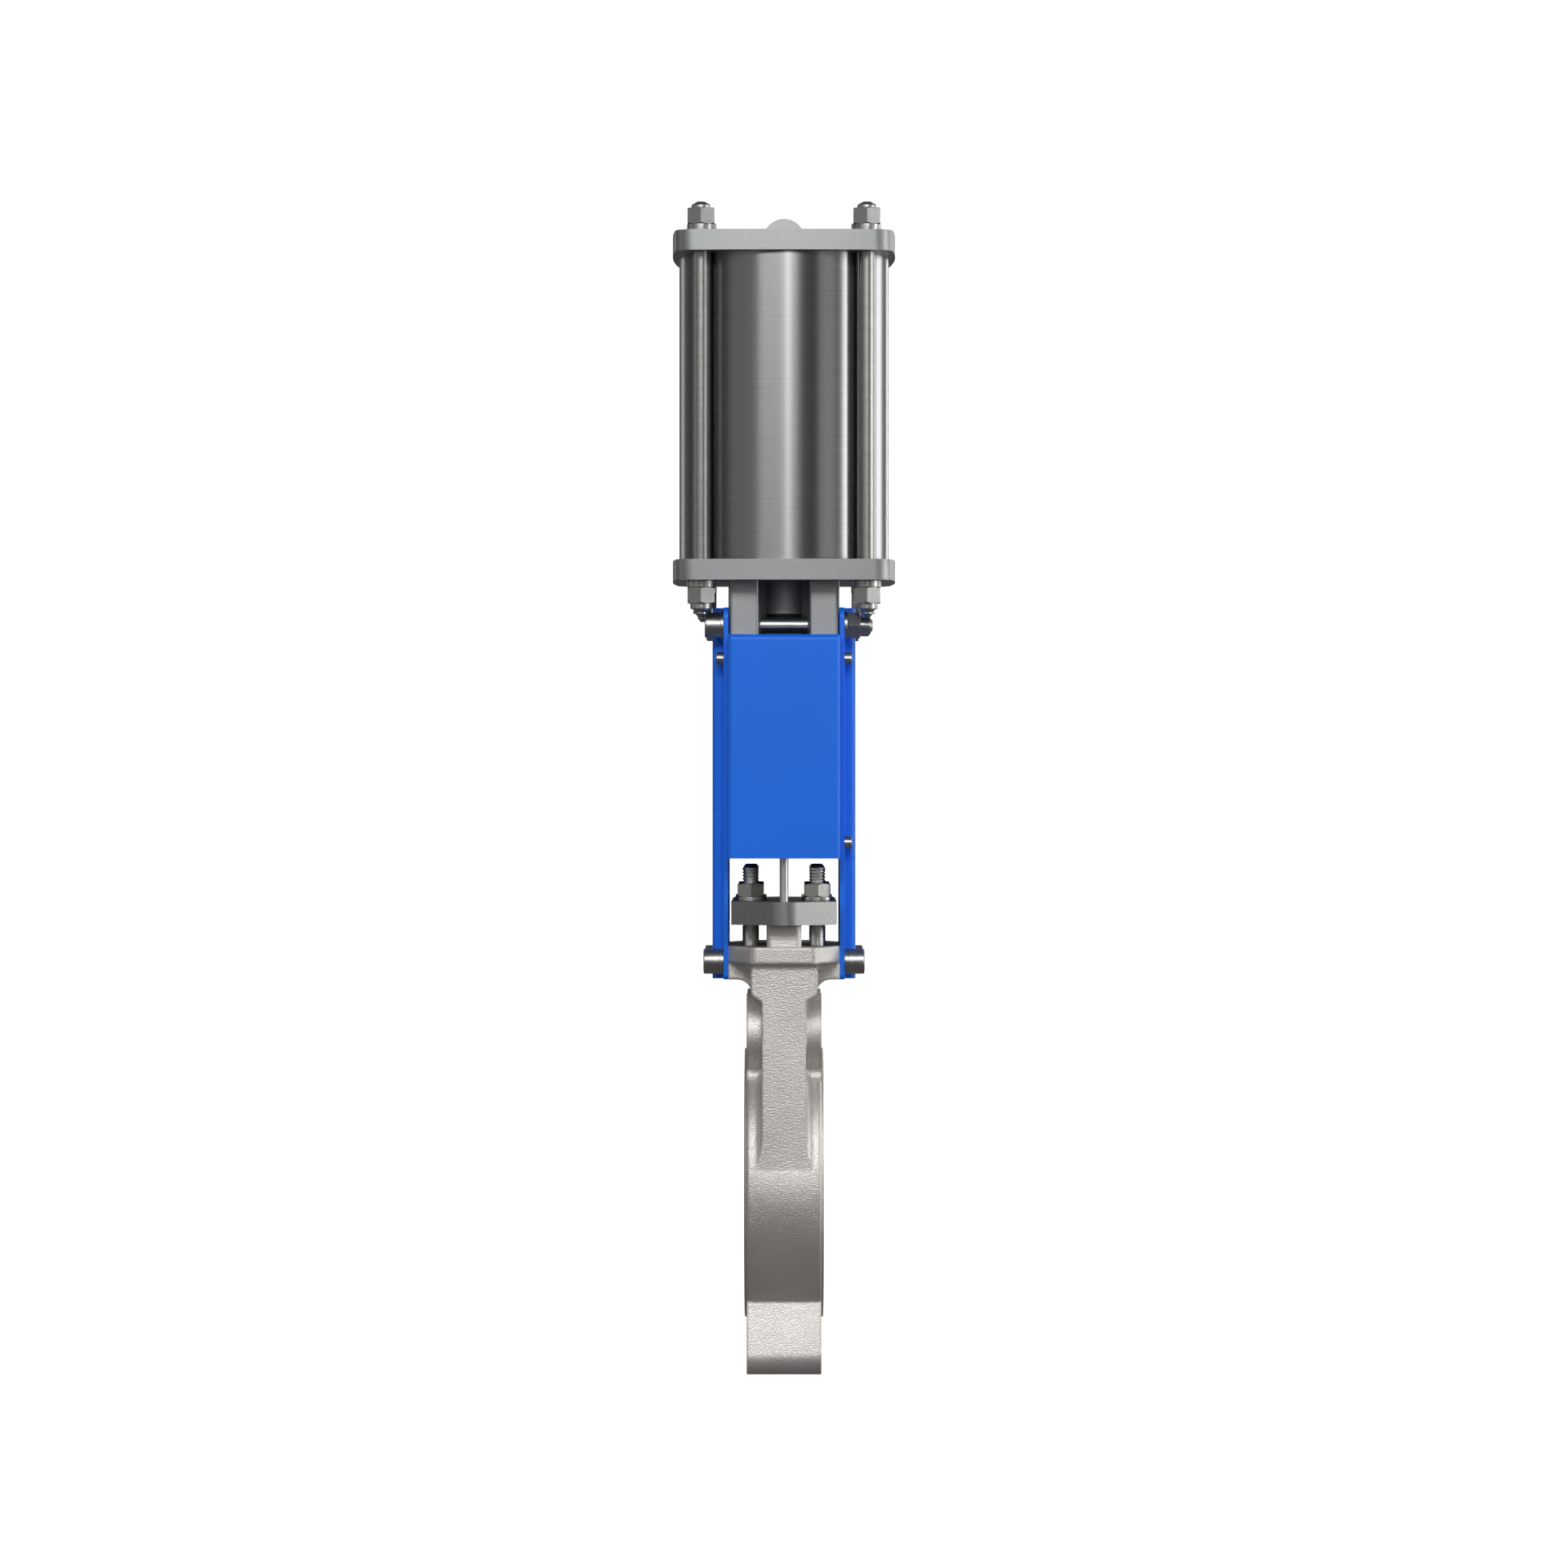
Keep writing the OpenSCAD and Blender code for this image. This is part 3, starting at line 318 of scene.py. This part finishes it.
def shader_of(material):
    """The Principled shader that each material starts with."""
    nodes, _ = node_tree(material)
    return nodes["Principled BSDF"]


def add_noise(material, scale, detail, roughness=0.5, stretch=(1, 1, 1)):
    """A noise in the object's own metres, stretched along its axes."""
    nodes, links = node_tree(material)
    place = nodes.new("ShaderNodeTexCoord")
    mapping = nodes.new("ShaderNodeMapping")
    mapping.inputs["Scale"].default_value = stretch
    noise = nodes.new("ShaderNodeTexNoise")
    noise.inputs["Scale"].default_value = scale
    noise.inputs["Detail"].default_value = detail
    noise.inputs["Roughness"].default_value = roughness
    links.new(place.outputs["Object"], mapping.inputs["Vector"])
    links.new(mapping.outputs["Vector"], noise.inputs["Vector"])
    return noise.outputs["Fac"]


def ramp(material, factor, low, high, low_at=0.35, high_at=0.65):
    """Turns a factor into a colour between low and high, and returns it."""
    nodes, links = node_tree(material)
    node = nodes.new("ShaderNodeValToRGB")
    node.color_ramp.elements[0].position = low_at
    node.color_ramp.elements[1].position = high_at
    node.color_ramp.elements[0].color = (*low, 1)
    node.color_ramp.elements[1].color = (*high, 1)
    links.new(factor, node.inputs["Fac"])
    return node.outputs["Color"]


def remap(material, factor, low, high):
    """Turns a factor from 0 to 1 into a value between low and high, and returns it."""
    nodes, links = node_tree(material)
    node = nodes.new("ShaderNodeMapRange")
    node.inputs["To Min"].default_value = low
    node.inputs["To Max"].default_value = high
    links.new(factor, node.inputs["Value"])
    return node.outputs["Result"]


def add_bump(material, height, strength, distance):
    """Adds a bump on top of those that the shader already has."""
    nodes, links = node_tree(material)
    normal = shader_of(material).inputs["Normal"]
    bump = nodes.new("ShaderNodeBump")
    bump.inputs["Strength"].default_value = strength
    bump.inputs["Distance"].default_value = distance
    links.new(height, bump.inputs["Height"])
    if normal.links:
        links.new(normal.links[0].from_socket, bump.inputs["Normal"])
    links.new(bump.outputs["Normal"], normal)


def round_normals(material, radius, samples=6):
    """Shades the edges as if they were rounded by the given radius."""
    nodes, links = node_tree(material)
    edge = nodes.new("ShaderNodeBevel")
    edge.samples = samples
    edge.inputs["Radius"].default_value = radius
    links.new(edge.outputs["Normal"], shader_of(material).inputs["Normal"])


def shade(colour, factor):
    """The colour made darker or lighter by a factor."""
    return tuple(c * factor for c in colour)


def vary_colour(material, factor, low, high):
    """Lets the surface run from one colour to another where a factor rises."""
    _, links = node_tree(material)
    links.new(ramp(material, factor, low, high), shader_of(material).inputs["Base Color"])


def vary_roughness(material, factor, low, high):
    """Lets the surface run from one roughness to another where a factor rises."""
    _, links = node_tree(material)
    links.new(remap(material, factor, low, high), shader_of(material).inputs["Roughness"])


def cast_steel_material():
    """Steel with the dimples of shot blasting and slow changes of tone."""
    look = settings("valve_casting")
    material = bpy.data.materials.new("shot_blasted_steel")
    shader_of(material).inputs["Metallic"].default_value = 0.75
    dimples = add_noise(material, scale=1 / look.dimple, detail=1, stretch=(1, 1, 2.1))
    blotches = add_noise(material, scale=18, detail=4)
    vary_colour(material, blotches, shade(look.colour, 0.92), shade(look.colour, 1.06))
    vary_roughness(material, dimples, look.roughness - 0.08, look.roughness + 0.1)
    round_normals(material, look.worn_edge)
    add_bump(material, dimples, strength=0.8, distance=look.dimple * 0.3)
    return material


def powder_coat_material():
    """Blue coat with the shallow waves that powder leaves when it melts."""
    look = settings("valve_coat")
    material = bpy.data.materials.new("blue_powder_coat")
    shader_of(material).inputs["Specular IOR Level"].default_value = 0.35
    peel = add_noise(material, scale=1 / look.peel, detail=2, roughness=0.4)
    tone = add_noise(material, scale=9, detail=2)
    vary_colour(material, tone, shade(look.colour, 0.96), shade(look.colour, 1.03))
    vary_roughness(material, peel, look.roughness - 0.04, look.roughness + 0.06)
    add_bump(material, peel, strength=0.3, distance=look.peel * 0.05)
    return material


def metal_material(name, colour, roughness, spread, grain, stretch=(1, 1, 1), relief=0.1):
    """A metal whose grain shows in its colour, its roughness and a shallow bump."""
    material = bpy.data.materials.new(name)
    shader_of(material).inputs["Metallic"].default_value = 1.0
    lines = add_noise(material, scale=grain, detail=3, roughness=0.6, stretch=stretch)
    vary_colour(material, lines, shade(colour, 0.94), shade(colour, 1.05))
    vary_roughness(material, lines, roughness - spread, roughness + spread)
    add_bump(material, lines, strength=relief, distance=GRAIN_DEPTH)
    return material


def brush_round(material, amount):
    """Smears the reflections along Z, as scratches that run round the Z axis do."""
    quarter_turn = 0.25
    nodes, links = node_tree(material)
    shader = shader_of(material)
    tangent = nodes.new("ShaderNodeTangent")
    tangent.direction_type = "RADIAL"
    tangent.axis = "Z"
    links.new(tangent.outputs["Tangent"], shader.inputs["Tangent"])
    shader.inputs["Anisotropic"].default_value = amount
    shader.inputs["Anisotropic Rotation"].default_value = quarter_turn


def rubber_material():
    """Black rubber with a fine matt speck."""
    material = bpy.data.materials.new("black_seal_rubber")
    speck = add_noise(material, scale=900, detail=3)
    vary_colour(material, speck, RUBBER, WORN_RUBBER)
    vary_roughness(material, speck, 0.55, 0.72)
    add_bump(material, speck, strength=0.15, distance=GRAIN_DEPTH)
    return material


def braided_packing_material():
    """Square braid: two slanted waves that cross each other, with painted shade in the grooves between
    them.
    """
    wave_scale = 110
    material = bpy.data.materials.new("braided_packing")
    nodes, links = node_tree(material)
    shader = shader_of(material)
    shader.inputs["Roughness"].default_value = 0.8
    place = nodes.new("ShaderNodeTexCoord")
    heights = []
    for slant in (45, -45):
        mapping = nodes.new("ShaderNodeMapping")
        mapping.inputs["Rotation"].default_value = (math.radians(slant), math.radians(slant), 0)
        wave = nodes.new("ShaderNodeTexWave")
        wave.inputs["Scale"].default_value = wave_scale
        links.new(place.outputs["Object"], mapping.inputs["Vector"])
        links.new(mapping.outputs["Vector"], wave.inputs["Vector"])
        heights.append(wave.outputs["Fac"])
    weave = nodes.new("ShaderNodeMath")
    weave.operation = "MULTIPLY"
    links.new(heights[0], weave.inputs[0])
    links.new(heights[1], weave.inputs[1])
    # Painted shade: the weave is drawn darker in its grooves and lighter on its crests, following the
    # bump's height.
    tone = ramp(material, weave.outputs[0], BRAID_GROOVE_SHADE, BRAID_CREST, low_at=0.1, high_at=0.8)
    links.new(tone, shader.inputs["Base Color"])
    add_bump(material, weave.outputs[0], strength=0.6, distance=BRAID_DEPTH)
    return material


def give(material, *names):
    """Puts a material on CAD nodes, in place of what they came with."""
    for name in names:
        slots = NODES[name].material_slots
        if not slots:
            NODES[name].data.materials.append(material)
        for slot in slots:
            slot.link = "OBJECT"
            slot.material = material


def soften(width, *names, angle=32, segments=3):
    """Rounds the sharp edges of CAD nodes by the given radius."""
    for name in names:
        node = NODES[name]
        weld = node.modifiers.new("Joined corners", "WELD")
        weld.merge_threshold = CORNER_GAP
        bevel = node.modifiers.new("Rounded edges", "BEVEL")
        bevel.width = width
        bevel.segments = segments
        bevel.limit_method = "ANGLE"
        bevel.angle_limit = math.radians(angle)
        bevel.miter_outer = "MITER_ARC"
        normals = node.modifiers.new("Even shading", "WEIGHTED_NORMAL")
        normals.keep_sharp = False


def thread_profile(radius, root, bottom, top, pitch, steps):
    """The rings of points of a single-start thread, from bottom to top.

    It fades in over its first turn and out over its last. root_flat and flank are the
    shares of half a pitch that the flat of the root and the flank take.
    """
    rows_per_turn = 12
    root_flat = 0.12
    flank = 0.45
    rows = int((top - bottom) / pitch * rows_per_turn) + 1
    rings = []
    for row in range(rows + 1):
        z = bottom + (top - bottom) * row / rows
        ring = []
        for k in range(steps):
            turn = k / steps
            phase = ((z - bottom) / pitch - turn) % 1.0
            from_root = abs(2 * phase - 1)
            rise = min(1.0, max(0.0, (from_root - root_flat) / flank))
            start = min(1.0, (z - bottom) / pitch, (top - z) / pitch)
            r = radius - (radius - root) * (1 - rise) * max(0.0, start)
            angle = 2 * math.pi * turn
            ring.append(Vector((r * math.cos(angle), r * math.sin(angle), z)))
        rings.append(ring)
    return rings


def plain_ring(radius, z, steps):
    """A level circle of points round the Z axis."""
    turns = (2 * math.pi * k / steps for k in range(steps))
    return [Vector((radius * math.cos(a), radius * math.sin(a), z)) for a in turns]


def join_rows(mesh, rows):
    """Fills the space between rings of vertices with smooth four-sided faces."""
    count = len(rows[0])
    for low, high in zip(rows, rows[1:]):
        for k in range(count):
            after = (k + 1) % count
            face = mesh.faces.new((low[k], low[after], high[after], high[k]))
            face.smooth = True


def skin(mesh, rings, centre):
    """Joins rings of points into a closed turned solid round the given centre."""
    rows = [[mesh.verts.new(p + centre) for p in ring] for ring in rings]
    join_rows(mesh, rows)
    mesh.faces.new(list(reversed(rows[0])))
    mesh.faces.new(rows[-1])


def make_piece(name, mesh, body):
    """Turns a mesh into an object that moves with the given body."""
    data = bpy.data.meshes.new(name)
    mesh.to_mesh(data)
    mesh.free()
    piece = bpy.data.objects.new(name, data)
    bpy.context.scene.collection.objects.link(piece)
    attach(piece, body)
    return piece


class VALVE_OT_camera(bpy.types.Operator):
    """Place the camera square to the side of the valve, at the photograph's distance"""

    bl_idname = "valve.camera"
    bl_label = "Camera"

    def execute(self, context):
        look = settings("valve_stage")
        data = bpy.data.cameras.new("studio_camera")
        data.sensor_width = SENSOR_WIDTH
        data.lens = look.lens
        camera = bpy.data.objects.new("studio_camera", data)
        camera.location = (0, -look.camera_distance, look.camera_height)
        camera.rotation_euler = (math.pi / 2, 0, 0)
        context.scene.collection.objects.link(camera)
        context.scene.camera = camera
        return {"FINISHED"}


def sweep_mesh(reach, height, radius, sides=64, curve_steps=12):
    """A round floor that curves up into a wall all round."""
    mesh = bmesh.new()
    outline = [(reach - radius, 0.0)]
    for k in range(1, curve_steps + 1):
        a = math.radians(90) * k / curve_steps
        outline.append((reach - radius + radius * math.sin(a), radius - radius * math.cos(a)))
    outline.append((reach, height))
    rows = [[mesh.verts.new(p) for p in plain_ring(r, FLOOR_Z + z, sides)] for r, z in outline]
    mesh.faces.new(rows[0])
    join_rows(mesh, rows)
    return mesh


def add_softbox(name, azimuth, height, distance, size, power, aim_height=0.25):
    """A rectangular light that faces the valve's axis at aim_height.

    Azimuth 0 is at the camera, 90 on the valve's right. The height is over the port axis.
    """
    a = math.radians(azimuth)
    data = bpy.data.lights.new(name, "AREA")
    data.shape = "RECTANGLE"
    data.size, data.size_y = size
    data.energy = power
    light = bpy.data.objects.new(name, data)
    light.location = (distance * math.sin(a), -distance * math.cos(a), height)
    aim = Vector((0, 0, aim_height)) - light.location
    light.rotation_euler = aim.to_track_quat("-Z", "Y").to_euler()
    light.visible_camera = False
    bpy.context.scene.collection.objects.link(light)


class VALVE_OT_stage(bpy.types.Operator):
    """Make the pale floor, the backdrop and the soft studio light"""

    bl_idname = "valve.stage"
    bl_label = "Stage"

    def execute(self, context):
        look = settings("valve_stage")
        scene = context.scene
        scene.view_settings.view_transform = "Standard"
        paper = bpy.data.materials.new("pale_paper")
        shader = shader_of(paper)
        shader.inputs["Roughness"].default_value = 0.9
        shader.inputs["Specular IOR Level"].default_value = 0.1
        shader.inputs["Emission Color"].default_value = (1, 1, 1, 1)
        shader.inputs["Emission Strength"].default_value = look.floor_glow
        grain = add_noise(paper, scale=40, detail=2)
        vary_colour(paper, grain, shade(look.floor_colour, 0.99), look.floor_colour)
        data = bpy.data.meshes.new("paper_sweep")
        mesh = sweep_mesh(reach=7.0, height=5.0, radius=1.5)
        mesh.to_mesh(data)
        mesh.free()
        sweep = bpy.data.objects.new("paper_sweep", data)
        scene.collection.objects.link(sweep)
        data.materials.append(paper)
        sweep.visible_glossy = False
        sweep.visible_diffuse = False
        sweep.visible_shadow = False

        world = bpy.data.worlds.new("studio_room")
        scene.world = world
        world.use_nodes = True
        nodes, links = world.node_tree.nodes, world.node_tree.links
        place = nodes.new("ShaderNodeTexCoord")
        parts = nodes.new("ShaderNodeSeparateXYZ")
        height = nodes.new("ShaderNodeMapRange")
        height.inputs["From Min"].default_value = SKY_FADE[0]
        height.inputs["From Max"].default_value = SKY_FADE[1]
        fade = nodes.new("ShaderNodeValToRGB")
        fade.color_ramp.elements[0].color = (*look.sky_low, 1)
        fade.color_ramp.elements[1].color = (*look.sky_high, 1)
        links.new(place.outputs["Generated"], parts.inputs["Vector"])
        links.new(parts.outputs["Z"], height.inputs["Value"])
        links.new(height.outputs["Result"], fade.inputs["Fac"])
        links.new(fade.outputs["Color"], nodes["Background"].inputs["Color"])

        add_softbox("key", azimuth=-6, height=1.65, distance=2.75, size=(2.2, 0.65), power=40)
        add_softbox("centre_strip", azimuth=4.5, height=1.6, distance=3.5, size=(0.28, 2.2), power=10.5)
        add_softbox("left_fill", azimuth=-42, height=0.6, distance=2.6, size=(1.9, 1.6), power=3.2)
        add_softbox("left_wash", azimuth=-90, height=0.6, distance=2.6, size=(0.6, 1.6), power=2.5)
        add_softbox("left_rim", azimuth=-148, height=0.6, distance=2.6, size=(0.3, 1.6), power=2)
        add_softbox("right_fill", azimuth=48, height=0.6, distance=2.6, size=(0.9, 1.6), power=3.3)
        add_softbox("right_strip", azimuth=75, height=0.55, distance=2.2, size=(0.55, 1.0), power=12)
        add_softbox("right_wash", azimuth=95, height=0.6, distance=2.6, size=(0.5, 1.6), power=3.5)
        add_softbox("right_rim", azimuth=127, height=0.45, distance=2.2, size=(0.55, 1.5), power=9.5)
        add_softbox("back_rim", azimuth=158, height=0.6, distance=2.6, size=(0.22, 1.6), power=4.7)
        return {"FINISHED"}


class VALVE_OT_casting(bpy.types.Operator):
    """Finish the body casting and the gland follower"""

    bl_idname = "valve.casting"
    bl_label = "Body casting"

    def execute(self, context):
        give(cast_steel_material(), "body", "gland_follower")
        soften(settings("valve_casting").edge, "body", "gland_follower")
        return {"FINISHED"}


class VALVE_OT_gland(bpy.types.Operator):
    """Finish the gland flange and cut the threads of its studs"""

    bl_idname = "valve.gland"
    bl_label = "Gland"

    def execute(self, context):
        machined = metal_material(
            "milled_steel", MILLED_STEEL, roughness=0.42, spread=0.03, grain=500, relief=0.03
        )
        give(machined, "gland_flange", "gate_clevis")
        soften(MACHINED_EDGE, "gland_flange", "gate_clevis")
        self.cut_studs()
        return {"FINISHED"}

    def cut_studs(self):
        """Replaces the studs by studs with a plain shank, a neck under the nut and a thread."""
        look = settings("valve_thread")
        low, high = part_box("gland_studs")
        nut_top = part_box("gland_nuts")[1].z
        flange_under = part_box("gland_flange")[0].z
        tip = STUD_RADIUS - STUD_CHAMFER
        neck = STUD_RADIUS - NECK_DEPTH
        root = STUD_RADIUS - look.depth
        x, y = high.x - STUD_RADIUS, high.y - STUD_RADIUS
        thread_start = nut_top - TURNS_UNDER_NUT * look.pitch
        thread_end = high.z - STUD_CHAMFER
        rings = [
            plain_ring(tip, low.z, look.steps),
            plain_ring(STUD_RADIUS, low.z + STUD_CHAMFER, look.steps),
            plain_ring(STUD_RADIUS, flange_under - NECK_SHOULDER, look.steps),
            plain_ring(neck, flange_under - NECK_TOP, look.steps),
            plain_ring(neck, thread_start - NECK_END, look.steps),
        ]
        rings += thread_profile(
            STUD_RADIUS, root, thread_start, thread_end, look.pitch, look.steps
        )
        rings.append(plain_ring(tip, high.z, look.steps))
        mesh = bmesh.new()
        for sx in (-1, 1):
            for sy in (-1, 1):
                skin(mesh, rings, Vector((sx * x, sy * y, 0)))
        piece = make_piece("threaded_gland_studs", mesh, FIXED_BODY)
        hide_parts("gland_studs")
        bare = metal_material(
            "bare_stud", BARE_STEEL, roughness=0.40, spread=0.04, grain=300, relief=0.03
        )
        piece.data.materials.append(bare)


class VALVE_OT_fasteners(bpy.types.Operator):
    """Finish the screws, nuts, washers and tie rods"""

    bl_idname = "valve.fasteners"
    bl_label = "Fasteners"

    def execute(self, context):
        look = settings("valve_metal")
        bright = metal_material(
            "polished_stainless",
            look.bolt_colour,
            roughness=0.33,
            spread=0.03,
            grain=300,
            relief=0.03,
        )
        ground = metal_material(
            "ground_rod",
            shade(look.bolt_colour, 0.85),
            roughness=0.32,
            spread=0.02,
            grain=40,
            stretch=(1, 1, 6),
            relief=0.001,
        )
        give(bright, *FASTENERS)
        give(ground, "tie_rods")
        soften(look.bolt_edge, *FASTENERS, segments=2)
        return {"FINISHED"}


class VALVE_OT_yoke(bpy.types.Operator):
    """Powder-coat the yoke plates and the guards"""

    bl_idname = "valve.yoke"
    bl_label = "Yoke and guards"

    def execute(self, context):
        give(powder_coat_material(), *SHEETS)
        soften(settings("valve_coat").edge, *SHEETS)
        return {"FINISHED"}


class VALVE_OT_cylinder(bpy.types.Operator):
    """Finish the heads, the brushed tube and the inner parts of the cylinder"""

    bl_idname = "valve.cylinder"
    bl_label = "Cylinder"

    def execute(self, context):
        look = settings("valve_metal")
        cast = metal_material(
            "satin_aluminium",
            look.head_colour,
            roughness=0.46,
            spread=0.03,
            grain=700,
            relief=0.06,
        )
        brushed = metal_material(
            "brushed_tube",
            look.tube_colour,
            roughness=0.30,
            spread=0.04,
            grain=14,
            stretch=(1, 1, 90),
            relief=0.15,
        )
        brush_round(brushed, amount=0.8)
        turned = metal_material(
            "turned_aluminium",
            look.head_colour,
            roughness=0.30,
            spread=0.05,
            grain=60,
            stretch=(1, 1, 30),
        )
        give(cast, "upper_head", "lower_head")
        give(brushed, "cylinder_tube")
        give(turned, "piston")
        soften(look.head_edge, "upper_head", "lower_head")
        return {"FINISHED"}


class VALVE_OT_gate(bpy.types.Operator):
    """Finish the gate plate and the piston rod"""

    bl_idname = "valve.gate"
    bl_label = "Gate and rod"

    def execute(self, context):
        plate = metal_material(
            "ground_plate",
            GROUND_STEEL,
            roughness=0.33,
            spread=0.04,
            grain=60,
            stretch=(1, 14, 1),
            relief=0.02,
        )
        chrome = metal_material(
            "chromed_rod", CHROME, roughness=0.10, spread=0.03, grain=200, stretch=(1, 1, 6)
        )
        give(plate, "gate")
        give(chrome, "piston_rod")
        return {"FINISHED"}


class VALVE_OT_seals(bpy.types.Operator):
    """Finish the seals, guide rings, bush and packing"""

    bl_idname = "valve.seals"
    bl_label = "Seals and guides"

    def execute(self, context):
        bronze = metal_material(
            "turned_bronze", BRONZE, roughness=0.32, spread=0.06, grain=90, stretch=(1, 1, 20)
        )
        give(rubber_material(), *SEALS)
        give(bronze, "guide_ring", "rod_bush")
        give(braided_packing_material(), "packing_rings", "piston_wear_ring")
        return {"FINISHED"}


class VALVE_PT_panel(bpy.types.Panel):
    """The steps that dress the valve"""

    bl_idname = "VALVE_PT_panel"
    bl_label = "Knife gate valve"
    bl_space_type = "VIEW_3D"
    bl_region_type = "UI"
    bl_category = "Valve"

    def draw(self, context):
        for step in STEPS:
            self.layout.operator(step.bl_idname)


SETTINGS = {
    "valve_stage": StageSettings,
    "valve_casting": CastingSettings,
    "valve_coat": CoatSettings,
    "valve_metal": MetalSettings,
    "valve_thread": ThreadSettings,
}
STEPS = (
    VALVE_OT_camera,
    VALVE_OT_stage,
    VALVE_OT_casting,
    VALVE_OT_fasteners,
    VALVE_OT_gland,
    VALVE_OT_yoke,
    VALVE_OT_cylinder,
    VALVE_OT_gate,
    VALVE_OT_seals,
)


def register():
    """Adds the settings, the steps and the panel to Blender."""
    for group in SETTINGS.values():
        bpy.utils.register_class(group)
    for name, group in SETTINGS.items():
        setattr(bpy.types.Scene, name, PointerProperty(type=group))
    for step in STEPS:
        bpy.utils.register_class(step)
    bpy.utils.register_class(VALVE_PT_panel)


def unregister():
    """Takes the settings, the steps and the panel out of Blender again."""
    bpy.utils.unregister_class(VALVE_PT_panel)
    for step in reversed(STEPS):
        bpy.utils.unregister_class(step)
    for name, group in SETTINGS.items():
        delattr(bpy.types.Scene, name)
        bpy.utils.unregister_class(group)


def main():
    """Dresses the valve."""
    register()
    bpy.ops.valve.camera()
    bpy.ops.valve.stage()
    bpy.ops.valve.casting()
    bpy.ops.valve.fasteners()
    bpy.ops.valve.gland()
    bpy.ops.valve.yoke()
    bpy.ops.valve.cylinder()
    bpy.ops.valve.gate()
    bpy.ops.valve.seals()


if __name__ == "__main__":
    main()
